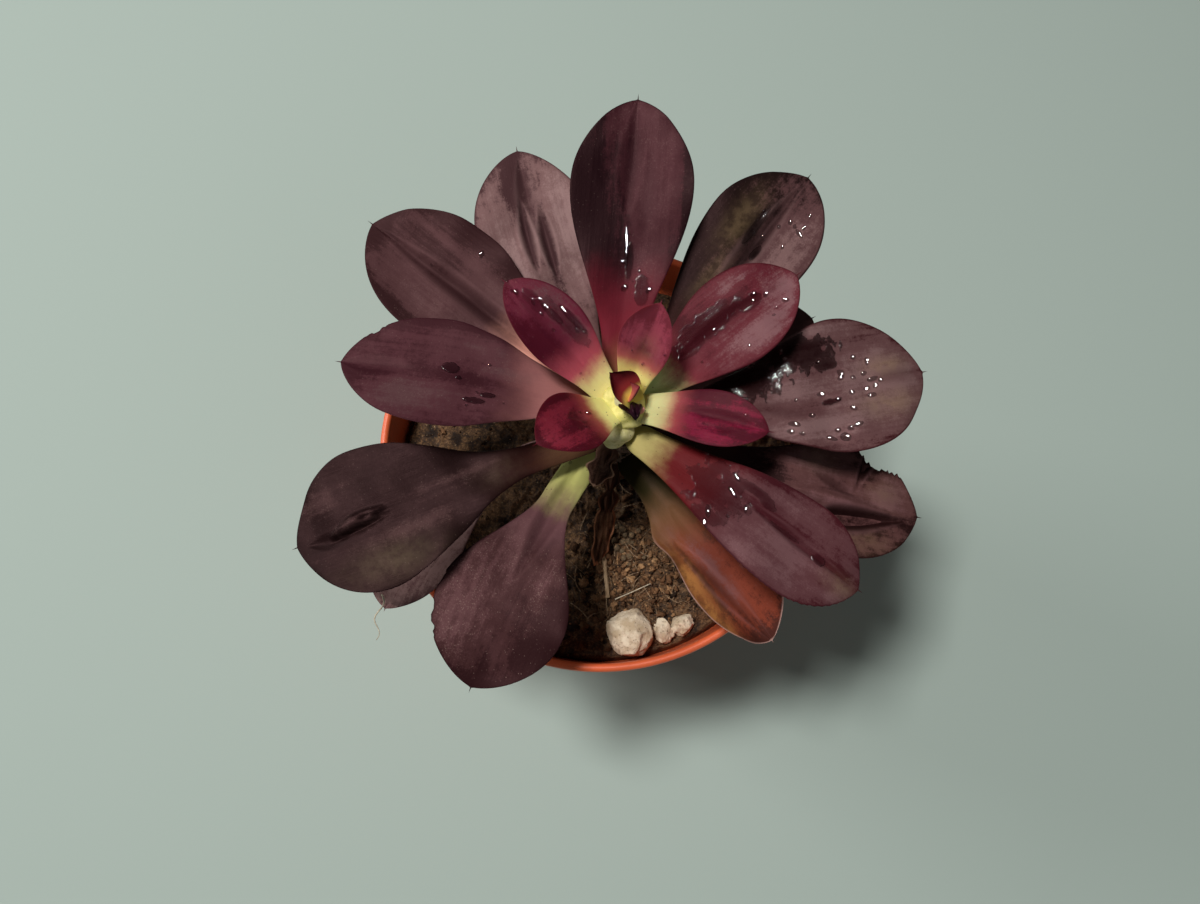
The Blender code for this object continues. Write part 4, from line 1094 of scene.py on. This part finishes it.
def water_finish(name, colour, veil, ripples, rough, gloss):
    """Clear water that takes the colour of the skin beneath it, as opaque as veil says."""
    recipe = Recipe(name, base_color=(*colour, 1), roughness=rough, ior=1.36, specular_ior_level=gloss)
    waves = recipe.noise(recipe.place(), 0.8, 2)
    return recipe.wear(alpha=recipe.attribute("veil") * veil, normal=recipe.bump(waves, ripples))


for name, drops in DROPS.items():
    bm = bmesh.new()
    points = []
    for number, drop in enumerate(drops):
        bm.from_mesh(BALL_MESH)
        points.append(drop_skin(name, drop, number))
    colour = np.array(TINTS[name].blade) * BEAD_SHADE
    finish = water_finish(f"{name}_bead_water", colour, 1.0, 0.01, 0.03, 1.0)
    beads = make_piece(f"{name}_beads", bm, finish, numbers={"veil": np.tile(BALL_VEIL, len(drops))},
                       points=np.concatenate(points))
    bead_pieces.objects.link(beads)
print("beads on", len(DROPS), "leaves")

for name in WET:
    places, faces, depth = film_sheet(name)
    sheet = bpy.data.meshes.new(f"{name}_sheet")
    sheet.from_pydata(places.tolist(), [], faces.tolist())
    bm = bmesh.new()
    bm.from_mesh(sheet)
    colour = np.array(TINTS[name].deep) * FILM_SHADE
    finish = water_finish(f"{name}_film_water", colour, OPACITY[name], 0.06, 0.12, 0.3)
    film = make_piece(f"{name}_film", bm, finish, numbers={"veil": depth}, points=places)
    film_pieces.objects.link(film)
print("films on", len(WET), "leaves")

# %% [markdown]
# ## The pot
# It is a thin nursery pot of orange-brown plastic with a rolled lip and a collar. The solid has few
# sides, so the same profile is turned again with many, and its lip is rounded. The six drain holes
# are cut with a Boolean modifier, which is then applied. Soil has splashed on the inside alone, so the
# mesh says which of its points are there.

# %% The pot's profile
POT_HEIGHT = 92
RIM_RADIUS = 52.5
FOOT_RADIUS = 38.5
WALL = 1.1
LIP_WIDTH = 1.8
LIP_DEPTH = 3.4
COLLAR_DEPTH = 17
COLLAR_TAPER = 0.7
COLLAR_STEP = 1.6
STEP_SLOPE = 1.5
FLOOR = 1.5
FLOOR_RISE = 3.2
FOOT_SOFT = 0.8
GROOVE_INNER = 17
GROOVE_OUTER = 32
GROOVE_RISE = 2
DRAIN_RADIUS = 4.2
DRAIN_CIRCLE = 24.5
DRAIN_COUNT = 6
POT_SIDES = 192


def pot_inner_radius(height):
    """The radius of the pot's inner wall at a height: two tapers with a step between them."""
    step = POT_HEIGHT - COLLAR_DEPTH
    mouth = RIM_RADIUS - LIP_WIDTH
    collar = mouth - COLLAR_TAPER
    radii = (FOOT_RADIUS - WALL, collar - COLLAR_STEP, collar, mouth)
    return np.interp(height, (FLOOR_RISE, step - STEP_SLOPE, step, POT_HEIGHT), radii)


def divided(corners, longest):
    """A profile with points added until no step is longer than a length."""
    profile = [corners[0]]
    for first, second in zip(corners, corners[1:]):
        steps = max(1, math.ceil(math.dist(first, second) / longest))
        for number in range(1, steps + 1):
            share = number / steps
            profile.append(tuple(a + (b - a) * share for a, b in zip(first, second)))
    return profile


def pot_profile():
    """Points of (radius, height) from the axis up the inside, over the lip and down the outside."""
    step = POT_HEIGHT - COLLAR_DEPTH
    mouth = RIM_RADIUS - LIP_WIDTH
    lip_foot = POT_HEIGHT - LIP_DEPTH
    inside = [(0, FLOOR), (GROOVE_INNER - FLOOR, FLOOR), (GROOVE_INNER, FLOOR + GROOVE_RISE),
              (GROOVE_OUTER, FLOOR + GROOVE_RISE), (GROOVE_OUTER + FLOOR, FLOOR),
              (FOOT_RADIUS - WALL - FLOOR, FLOOR)]
    for height in (FLOOR_RISE, step - STEP_SLOPE, step, POT_HEIGHT - LIP_WIDTH / 2):
        inside.append((float(pot_inner_radius(height)), height))
    roll = LIP_WIDTH / 2
    lip = []
    for turn in np.linspace(math.pi, 0, 9)[1:]:
        lip.append((mouth + roll + roll * math.cos(turn), POT_HEIGHT - roll + roll * math.sin(turn)))
    lip += [(RIM_RADIUS, lip_foot + 0.5), (RIM_RADIUS - 0.15, lip_foot + 0.15),
            (RIM_RADIUS - 0.5, lip_foot)]
    outside = [(float(pot_inner_radius(height)) + WALL, height)
               for height in (lip_foot, step, step - STEP_SLOPE)]
    outside += [(FOOT_RADIUS, FOOT_SOFT), (FOOT_RADIUS - 0.3 * FOOT_SOFT, 0.3 * FOOT_SOFT),
                (FOOT_RADIUS - FOOT_SOFT, 0), (GROOVE_OUTER + FLOOR, 0), (GROOVE_OUTER, GROOVE_RISE),
                (GROOVE_INNER, GROOVE_RISE), (GROOVE_INNER - FLOOR, 0), (0, 0)]
    return divided(inside + lip + outside, 4)


# %% Turning a profile
def turned(profile, sides):
    """A closed bmesh of a profile turned round Z; its ends lie on the axis."""
    bm = bmesh.new()
    turns = np.linspace(0, 2 * math.pi, sides, endpoint=False)
    rings = []
    for radius, height in profile:
        if radius == 0:
            rings.append([bm.verts.new((0, 0, height * MM))] * sides)
        else:
            ring = [(radius * math.cos(turn), radius * math.sin(turn), height) for turn in turns]
            rings.append([bm.verts.new(Vector(place) * MM) for place in ring])
    for lower, upper in zip(rings, rings[1:]):
        for number in range(sides):
            after = (number + 1) % sides
            corners = dict.fromkeys((lower[number], lower[after], upper[after], upper[number]))
            bm.faces.new(corners)
    bmesh.ops.recalc_face_normals(bm, faces=bm.faces)
    return bm


def drained(bm):
    """The bmesh with the drain holes cut out."""
    mesh = bpy.data.meshes.new("undrained")
    bm.to_mesh(mesh)
    bm.free()
    drill = bmesh.new()
    for number in range(DRAIN_COUNT):
        angle = 2 * math.pi * number / DRAIN_COUNT
        place = Vector((math.cos(angle), math.sin(angle), 0)) * DRAIN_CIRCLE * MM
        made = bmesh.ops.create_cone(drill, cap_ends=True, segments=48, radius1=DRAIN_RADIUS * MM,
                                     radius2=DRAIN_RADIUS * MM, depth=4 * FLOOR * MM)
        bmesh.ops.translate(drill, vec=place + Vector((0, 0, FLOOR * MM)), verts=made["verts"])
    drill_mesh = bpy.data.meshes.new("drills")
    drill.to_mesh(drill_mesh)
    drill.free()
    shell, cutter = bpy.data.objects.new("undrained", mesh), bpy.data.objects.new("drills", drill_mesh)
    for part in (shell, cutter):
        bpy.context.scene.collection.objects.link(part)
    cut = shell.modifiers.new("Drain", "BOOLEAN")
    cut.object = cutter
    cut.solver = "EXACT"
    graph = bpy.context.evaluated_depsgraph_get()
    result = bmesh.new()
    result.from_mesh(shell.evaluated_get(graph).to_mesh())
    for part in (shell, cutter):
        bpy.data.objects.remove(part)
    return result


# %% The plastic
SOIL_TOP = 78
pot_recipe = Recipe("pot_plastic_fine", specular_ior_level=0.5)
spot = pot_recipe.place()
height = pot_recipe.node("ShaderNodeSeparateXYZ", {}, {0: spot}, "Z")
clouds = pot_recipe.noise(spot, 14, 3)
scuffs = pot_recipe.noise(pot_recipe.stretched(spot, (1, 1, 0.08)), 0.5, 3, 0.7)
specks = pot_recipe.noise(spot, 0.7, 3, 0.7)
plastic = pot_recipe.mix(clouds.between(0.3, 0.7), (0.66, 0.112, 0.036), (0.76, 0.138, 0.048))
grime = height.between(SOIL_TOP + 5, SOIL_TOP - 1) * specks.between(0.35, 0.7)
grime = grime * pot_recipe.attribute("inside")
plastic = pot_recipe.mix(grime * 0.6, plastic, (0.10, 0.05, 0.028))
plastic = pot_recipe.mix(specks.between(0.66, 0.74) * 0.5, plastic, (0.16, 0.08, 0.045))
pot_rough = 0.34 + scuffs * 0.12 + grime * 0.3
pot_normal = pot_recipe.bump(scuffs * 0.4 + specks * 0.6, 0.03)
pot_material = pot_recipe.wear(base_color=plastic, roughness=pot_rough, normal=pot_normal)
pot_mesh = drained(turned(pot_profile(), POT_SIDES))
inside = []
for corner in pot_mesh.verts:
    beyond = math.hypot(corner.co.x, corner.co.y) / MM - float(pot_inner_radius(corner.co.z / MM))
    inside.append(float(beyond < 0.5 * WALL))
pot = make_piece("pot_fine", pot_mesh, pot_material, ("pot",), {"inside": inside})
print("pot:", len(pot.data.polygons), "faces,", int(sum(inside)), "points inside")

# %% [markdown]
# ## The soil
# Potting soil is crumbs of bark and peat with pale grains in it. The top repeats the solid's lumps and
# adds crumbs of its own by noise. Loose grains and fibres are separate small meshes strewn over it, so
# that they cast shadows. Each kind is joined into one piece.

# %% The soil's lumpy top
SOIL_FLOOR = 4.2
SOIL_SLACK = 1.2
SOIL_RELIEF = 1.6
SOIL_LUMP = 9
MOUND_PLACE = Vector((9, -24, 0))
MOUND_REACH = 17
MOUND_RISE = 3.2
CRUMB_RELIEF = 0.75


def soil_height(x, y):
    """The height of the soil's top, as the solid has it."""
    spot = Vector((x, y, 0))
    mound = MOUND_RISE * math.exp(-((spot - MOUND_PLACE).length / MOUND_REACH) ** 2)
    lumps = noise.noise(spot / SOIL_LUMP) + 0.5 * noise.noise(spot / SOIL_LUMP * 2 + Vector((7, 3, 0)))
    return SOIL_TOP + mound + SOIL_RELIEF * lumps


def crumbs(x, y):
    """Small rounded crumbs on the soil, from noises of three sizes."""
    spot = Vector((x, y, 0))
    coarse = 1 - 2 * abs(noise.noise(spot / 3.2))
    middle = 1 - 2 * abs(noise.noise(spot / 1.5 + Vector((4, 9, 0))))
    fine = noise.noise(spot / 0.7 + Vector((1, 5, 0)))
    return CRUMB_RELIEF * (coarse + 0.6 * middle + 0.4 * fine - 0.9)


# %% The soil's plug
SOIL_SIDES = 360
SOIL_RINGS = 96
edge = float(pot_inner_radius(SOIL_TOP)) - GAP - SOIL_SLACK
step = POT_HEIGHT - COLLAR_DEPTH
profile = [(edge * ring / SOIL_RINGS, SOIL_TOP) for ring in range(SOIL_RINGS + 1)]
profile += [(float(pot_inner_radius(step)) - GAP, step + GAP),
            (float(pot_inner_radius(step - STEP_SLOPE)) - GAP, step - STEP_SLOPE + GAP),
            (float(pot_inner_radius(SOIL_FLOOR)) - GAP, SOIL_FLOOR), (0, SOIL_FLOOR)]
bm = turned(profile, SOIL_SIDES)
for corner in bm.verts:
    if abs(corner.co.z / MM - SOIL_TOP) < GAP:
        x, y = corner.co.x / MM, corner.co.y / MM
        corner.co.z = (soil_height(x, y) + crumbs(x, y)) * MM
soil_recipe = Recipe("potting_soil_fine", specular_ior_level=0.3)
spot = soil_recipe.place()
lumps = soil_recipe.noise(spot, 4, 4, 0.6)
bits = soil_recipe.noise(spot, 0.6, 3, 0.7)
flecks = soil_recipe.cells(spot, 1.1)
earth = soil_recipe.mix(lumps.between(0.35, 0.65), (0.016, 0.008, 0.005), (0.105, 0.054, 0.026))
earth = soil_recipe.mix(bits.between(0.42, 0.66) * lumps.between(0.3, 0.6), earth, (0.24, 0.135, 0.065))
earth = soil_recipe.mix(flecks.between(0.22, 0.12) * bits.between(0.5, 0.6), earth, (0.36, 0.25, 0.15))
soil_normal = soil_recipe.bump(bits + lumps * 0.7, 0.35)
soil_rough = 0.95 - bits.between(0.6, 0.4) * 0.3
soil_material = soil_recipe.wear(base_color=earth, roughness=soil_rough, normal=soil_normal)
soil = make_piece("soil_fine", bm, soil_material, ("soil",))
print("soil:", len(soil.data.polygons), "faces")

# %% Loose crumbs and balls of clay
CRUMBS = 2450
CRUMB_REACH = 49
LIT_PATCH = np.array((9.0, -29.0))  # where the crumbs lie thickest, and near which they are painted lighter, a painted pool of light
PATCH_REACH = 13
CLAY_PATCH = (4.5, -20.5)  # where the grey balls of clay lie
CLAY_REACH = 4.5
LARGE = 0.65  # crumbs above this size get more faces


def crumb_places(rng):
    """Places for the crumbs: half of them strewn over the soil, and half about the lit patch."""
    places = []
    while len(places) < CRUMBS:
        if len(places) % 2:
            spot = LIT_PATCH + rng.normal(size=2) * PATCH_REACH * 0.6
        else:
            spot = rng.uniform(-CRUMB_REACH, CRUMB_REACH, 2)
        if np.hypot(*spot) < CRUMB_REACH and np.hypot(*(spot - STEM_FOOT[:2])) > 6:
            places.append(spot)
    return places


def crumb_ball(level):
    """A ball of few faces, and its points."""
    bm = bmesh.new()
    bmesh.ops.create_icosphere(bm, subdivisions=level, radius=0.5)
    mesh = bpy.data.meshes.new(f"crumb_{level}")
    bm.to_mesh(mesh)
    bm.free()
    return mesh, np.array([corner.co[:] for corner in mesh.vertices])


SMALL_CRUMB, LARGE_CRUMB = crumb_ball(1), crumb_ball(2)
rng = np.random.default_rng(41)
bm, points, shades = bmesh.new(), [], []
for x, y in crumb_places(rng):
    clay = rng.random() < 0.3 * math.exp(-(math.dist((x, y), CLAY_PATCH) / CLAY_REACH) ** 2)
    near = math.exp(-(math.dist((x, y), LIT_PATCH) / PATCH_REACH) ** 2)
    size = rng.uniform(1.2, 2.0) if clay else rng.uniform(0.3, 0.62) * (1 + 2.2 * rng.random() ** 8)
    stretch = (1, 1, 0.9) if clay else rng.uniform(0.35, 1.8, 3)
    crumb_mesh, ball = LARGE_CRUMB if size > LARGE else SMALL_CRUMB
    bumps = (0.08 if clay else 0.38) * rng.normal(size=(len(ball), 1))
    lumpy = ball * size * stretch * (1 + bumps)
    tilt = np.linalg.qr(rng.normal(size=(3, 3)))[0]
    if np.linalg.det(tilt) < 0:
        tilt[0] *= -1
    height = soil_height(x, y) + crumbs(x, y) + 0.25 * size
    points.append(lumpy @ tilt + (x, y, height))
    # Crumbs near the lit patch are painted lighter, a painted pool of light; the clay keeps its own grey.
    shade = 0.85 if clay else np.clip(rng.uniform(0, 0.45) + 0.40 * near * rng.random(), 0, 1)
    shades.append(np.full(len(ball), shade))
    bm.from_mesh(crumb_mesh)
crumb_recipe = Recipe("soil_crumbs_fine", specular_ior_level=0.25)
shade = crumb_recipe.attribute("shade")
bits = crumb_recipe.noise(crumb_recipe.place(), 0.4, 3, 0.7)
tone = shade + (bits - 0.5) * 0.5
crumb = crumb_recipe.mix(tone.between(0.0, 0.35), (0.020, 0.010, 0.005), (0.15, 0.072, 0.033))
crumb = crumb_recipe.mix(tone.between(0.35, 0.75), crumb, (0.44, 0.25, 0.12))
crumb = crumb_recipe.mix(tone.between(0.72, 0.86), crumb, (0.125, 0.088, 0.052))
crumb_material = crumb_recipe.wear(base_color=crumb, roughness=0.8 + bits * 0.2,
                                   normal=crumb_recipe.bump(bits, 0.3))
make_piece("soil_crumbs", bm, crumb_material,
           numbers={"shade": np.concatenate(shades)}, points=np.concatenate(points))
print(CRUMBS, "crumbs")

# %% [markdown]
# ## The stem
# Older leaves have dropped from the stem and left scars, and its top is pale green where leaves still
# hold. It is a tube along the stem's axis; rings of low ridges mark where the leaves were.

# %% The stem's tube
STEM_SIDES = 96
STEM_RINGS = 150
SCAR_PITCH = 2.4
SCAR_RISE = 0.22

heights = np.linspace(STEM_FOOT[2], STEM_TOP[2], STEM_RINGS)
turns = np.linspace(0, 2 * math.pi, STEM_SIDES, endpoint=False)
bm = bmesh.new()
axis = stem_axis(heights)
rings = []
for height, middle in zip(heights, axis):
    wander = 1.2 * np.sin(turns * 2 + height * 0.6)
    scars = SCAR_RISE * np.abs(np.sin(math.pi * height / SCAR_PITCH + wander))
    round_stem = np.stack((6 * np.cos(turns), 6 * np.sin(turns), np.full(STEM_SIDES, height)), -1)
    rough = ripple(round_stem, 2.5, 77)
    radius = stem_radius(height) + (scars + 0.12 * rough - 0.15) * min(1, (STEM_TOP[2] - height) / 3)
    corners = []
    for turn, reach in zip(turns, radius):
        place = (middle[0] + reach * math.cos(turn), middle[1] + reach * math.sin(turn), height)
        corners.append(bm.verts.new(Vector(place) * MM))
    rings.append(corners)
for lower, upper in zip(rings, rings[1:]):
    for number in range(STEM_SIDES):
        after = (number + 1) % STEM_SIDES
        bm.faces.new((lower[number], lower[after], upper[after], upper[number]))
bm.faces.new(reversed(rings[0]))
bm.faces.new(rings[-1])
stem_recipe = Recipe("fleshy_stem_fine", specular_ior_level=0.4)
spot = stem_recipe.place()
height = stem_recipe.node("ShaderNodeSeparateXYZ", {}, {0: spot}, "Z")
blots = stem_recipe.noise(spot, 2.2, 3, 0.6)
dots = stem_recipe.cells(spot, 0.9)
bark = stem_recipe.mix(blots.between(0.35, 0.65), (0.10, 0.055, 0.028), (0.20, 0.135, 0.07))
green = stem_recipe.mix(blots.between(0.3, 0.7), (0.38, 0.36, 0.17), (0.56, 0.52, 0.30))
flesh = stem_recipe.mix((height + (blots - 0.5) * 8).between(104, 113), bark, green)
flesh = stem_recipe.mix(dots.between(0.20, 0.12) * 0.6, flesh, (0.09, 0.05, 0.03))
stem_normal = stem_recipe.bump(blots, 0.3)
stem_material = stem_recipe.wear(base_color=flesh, roughness=0.5 + blots * 0.3, normal=stem_normal)
make_piece("stem_fine", bm, stem_material, ("stem",))
print("stem:", STEM_SIDES * STEM_RINGS, "points")

# %% [markdown]
# ## The heart of the rosette
# The bases of the youngest leaves grow together in a cup of yellow-green flesh, and below it a pale
# stump is left of a leaf that broke off. Both are soft lumps, so each is a ball whose points are
# moved by a smooth random field. Dried shreds of old leaf bases hang round the stem beneath.

# %% The cup and the stump
LUMPS = {
    "crown_cup": ((4.9, -0.6, 124.0), (4.7, 4.7, 3.2), (0.62, 0.58, 0.16), (0.84, 0.76, 0.30)),
    "pale_stump": ((3.4, -5.6, 120.6), (3.4, 2.8, 3.2), (0.52, 0.48, 0.20), (0.74, 0.68, 0.38)),
    "pink_nub": ((7.9, -2.9, 128.0), (0.9, 0.8, 1.2), (0.50, 0.16, 0.14), (0.70, 0.34, 0.28)),
}

for number, (name, (centre, radii, dark, light)) in enumerate(LUMPS.items()):
    bm = bmesh.new()
    bmesh.ops.create_icosphere(bm, subdivisions=5, radius=1)
    ball = np.array([corner.co[:] for corner in bm.verts])
    lumpy = ball * (1 + 0.10 * ripple(ball, 0.7, 90 + number)[:, None]) * radii + centre
    flesh_recipe = Recipe(f"{name}_flesh", specular_ior_level=0.15)
    spot = flesh_recipe.place()
    blots = flesh_recipe.noise(spot, 1.8, 3, 0.6)
    dots = flesh_recipe.cells(spot, 1.1).between(0.15, 0.07)
    flesh = flesh_recipe.mix(blots.between(0.3, 0.7), dark, light)
    flesh = flesh_recipe.mix(dots * 0.8, flesh, (0.05, 0.04, 0.02))
    flesh_material = flesh_recipe.wear(base_color=flesh, roughness=0.5 + blots * 0.3,
                                       normal=flesh_recipe.bump(blots, 0.2))
    make_piece(name, bm, flesh_material, points=lumpy)
print(len(LUMPS), "lumps")

# %% Dried shreds, and fibres in the soil
SHREDS = 26
FIBRES = 90


def strand_mesh(bm, points, radii, sides=10):
    """Add a capped tube along points to a bmesh."""
    points = np.asarray(points, float)
    along = np.gradient(points, axis=0)
    along /= np.linalg.norm(along, axis=1, keepdims=True)
    rings = []
    for place, forward, radius in zip(points, along, radii):
        aside = np.cross(forward, (0, 0, 1) if abs(forward[2]) < 0.9 else (1, 0, 0))
        aside /= np.linalg.norm(aside)
        up = np.cross(aside, forward)
        corners = []
        for turn in np.linspace(0, 2 * math.pi, sides, endpoint=False):
            corner = place + (aside * math.cos(turn) + up * math.sin(turn)) * radius
            corners.append(bm.verts.new(Vector(corner) * MM))
        rings.append(corners)
    faces = []
    for first, second in zip(rings, rings[1:]):
        for number in range(sides):
            after = (number + 1) % sides
            faces.append(bm.faces.new((first[number], first[after], second[after], second[number])))
    faces.append(bm.faces.new(reversed(rings[0])))
    faces.append(bm.faces.new(rings[-1]))
    bmesh.ops.recalc_face_normals(bm, faces=faces)


def fibre_finish(name, dark, light):
    """A dry, streaky finish for shreds, hairs and straws."""
    recipe = Recipe(name, specular_ior_level=0.3)
    fibres = recipe.noise(recipe.place(), 0.5, 3, 0.7)
    dry = recipe.mix(fibres.between(0.35, 0.65), dark, light)
    return recipe.wear(base_color=dry, roughness=0.6 + fibres * 0.3, normal=recipe.bump(fibres, 0.08))


rng = np.random.default_rng(17)
bm = bmesh.new()
shares = np.linspace(0, 1, 14)
for number in range(SHREDS):
    turn = math.radians(rng.uniform(-170, -20))
    top, drop = rng.uniform(105, 119), rng.uniform(5, 11)
    turns = turn + 0.35 * np.sin(shares * rng.uniform(3, 8) + rng.uniform(0, 6))
    heights = top - drop * shares
    stand = 0.3 + 1.1 * np.abs(np.sin(shares * 3 + rng.uniform(0, 3)))
    reach = stem_radius(heights) + stand
    middle = stem_axis(heights)
    points = np.stack((middle[:, 0] + reach * np.cos(turns), middle[:, 1] + reach * np.sin(turns),
                       heights), -1)
    strand_mesh(bm, points, rng.uniform(0.25, 0.6) * np.sin(np.pi * (0.15 + 0.8 * shares)), 8)
make_piece("dried_shreds", bm, fibre_finish("dried_leaf_base", (0.06, 0.035, 0.025), (0.26, 0.17, 0.12)))

bm = bmesh.new()
for number in range(FIBRES):
    spot = LIT_PATCH + rng.normal(size=2) * (11, 12)
    turn, length = rng.uniform(0, math.pi), rng.uniform(2, 7)
    bend = rng.uniform(-0.8, 0.8)
    turns = turn + bend * shares
    flat = spot + np.stack((np.cos(turns), np.sin(turns)), -1) * (length * shares)[:, None]
    if np.hypot(*flat.T).max() > 48:
        continue
    lift = 0.5 + 0.5 * np.sin(np.pi * shares) * rng.random()
    points = [(x, y, soil_height(x, y) + rise) for (x, y), rise in zip(flat, lift)]
    strand_mesh(bm, points, np.full(len(points), rng.uniform(0.05, 0.16)), 5)
make_piece("soil_fibres", bm, fibre_finish("soil_fibre", (0.10, 0.055, 0.03), (0.36, 0.25, 0.15)))

bm = bmesh.new()
pale = np.array((3.6, -35.4)) + np.array((8.5, 3.6)) * shares[:, None]
strand_mesh(bm, [(x, y, soil_height(x, y) + 0.9) for x, y in pale], np.full(14, 0.13), 6)
hair = np.array((-47.6, -36.2, 100.2)) + np.array((-1.9, -9.5, -4.2)) * shares[:, None]
hair[:, 0] += 0.8 * np.sin(shares * 9)
strand_mesh(bm, hair, np.linspace(0.22, 0.08, 14), 6)
make_piece("pale_fibres", bm, fibre_finish("pale_fibre", (0.42, 0.36, 0.26), (0.66, 0.58, 0.44)))
print("shreds and fibres:", SHREDS, FIBRES)

# %% [markdown]
# ## Stones and a straw
# Three pieces of pale pumice lie at the pot's edge, with a dry straw behind them. Each stone is the
# solid's lump made again from many more faces, then cut by a few flat facets and pitted.

# %% Pitted stones
STONE_LUMPS = 5
STONE_RELIEF = 1.2 * 0.28  # a little more than the solid's
STONE_STAND = 0.22
FACETS = 16
FACET_DEPTH = 0.43  # of a ball of radius 0.5
STONES = {
    "stone_1": ((7.1, -43.6), (12.2, 11.2, 9), 0.35, 3),
    "stone_2": ((14.9, -43.0), (4.6, 6.2, 4.4), 0.2, 8),
    "stone_3": ((19.7, -41.3), (6.0, 5.0, 4.8), 0.5, 13),
}
stone_recipe = Recipe("pale_stone_fine", specular_ior_level=0.3)
spot = stone_recipe.place()
clouds = stone_recipe.noise(spot, 3, 4, 0.6)
pores = stone_recipe.cells(spot, 0.8)
grit = stone_recipe.noise(spot, 0.3, 3, 0.7)
pale = stone_recipe.mix(clouds.between(0.35, 0.65), (0.54, 0.41, 0.27), (0.84, 0.72, 0.55))
pale = stone_recipe.mix(pores.between(0.24, 0.1) * 0.7, pale, (0.30, 0.21, 0.13))
pale = stone_recipe.mix(grit.between(0.60, 0.72) * 0.4, pale, (0.30, 0.22, 0.16))
stone_normal = stone_recipe.bump(pores.between(0.05, 0.3) * 0.5 + grit * 0.8 + clouds * 1.2, 0.3)
stone_material = stone_recipe.wear(base_color=pale, roughness=0.8 + grit * 0.2, normal=stone_normal)

for name, ((x, y), size, turn, seed) in STONES.items():
    bm = bmesh.new()
    bmesh.ops.create_icosphere(bm, subdivisions=5, radius=0.5)
    facets = np.random.default_rng(seed).normal(size=(FACETS, 3))
    facets = [Vector(facet).normalized() for facet in facets]
    for corner in bm.verts:
        lump = noise.noise(corner.co * STONE_LUMPS * 0.6 + Vector((seed, 0, 0)))
        spot = Vector((corner.co.x * size[0], corner.co.y * size[1], corner.co.z * size[2]))
        pit = noise.noise(spot / 1.3 + Vector((0, seed, 0)))
        rough = noise.noise(spot / 0.8 + Vector((seed, seed, 0)))
        fine = noise.noise(spot / 0.4 + Vector((0, 0, seed)))
        corner.co *= 1 + STONE_RELIEF * lump
        for facet in facets:
            corner.co -= facet * max(0, corner.co.dot(facet) - FACET_DEPTH) * 0.8
        corner.co *= 1 + (0.8 * min(0, pit + 0.2) + 0.35 * rough + 0.12 * fine) / min(size)
    bmesh.ops.scale(bm, vec=Vector(size) * MM, verts=bm.verts)
    bmesh.ops.rotate(bm, matrix=Matrix.Rotation(turn, 3, "Z"), verts=bm.verts)
    place = Vector((x, y, soil_height(x, y) + STONE_STAND * size[2])) * MM
    bmesh.ops.translate(bm, vec=place, verts=bm.verts)
    make_piece(f"{name}_fine", bm, stone_material, (name,))
print(len(STONES), "stones")

# %% A dry straw
STRAW_START = np.array((0.7, -22))
STRAW_END = np.array((1.9, -35.0))
STRAW_RADIUS = 0.55
STRAW_LIFT = 1.6

straw_recipe = Recipe("dry_straw_fine", specular_ior_level=0.3)
spot = straw_recipe.place()
fibres = straw_recipe.noise(straw_recipe.stretched(spot, (1, 0.1, 1)), 0.25, 3, 0.6)
dry = straw_recipe.mix(fibres.between(0.3, 0.7), (0.20, 0.12, 0.06), (0.50, 0.36, 0.22))
straw_material = straw_recipe.wear(base_color=dry, roughness=0.6 + fibres * 0.3,
                                   normal=straw_recipe.bump(fibres, 0.06))
shares = np.linspace(0, 1, 40)[:, None]
flat = STRAW_START + (STRAW_END - STRAW_START) * shares
points = [(x, y, soil_height(x, y) + STRAW_LIFT * STRAW_RADIUS) for x, y in flat]
radii = STRAW_RADIUS * (1 - 0.12 * np.abs(np.sin(shares[:, 0] * 9)))
bm = bmesh.new()
strand_mesh(bm, points, radii, 20)
make_piece("straw_fine", bm, straw_material, ("straw",))
print("straw:", len(points), "rings")
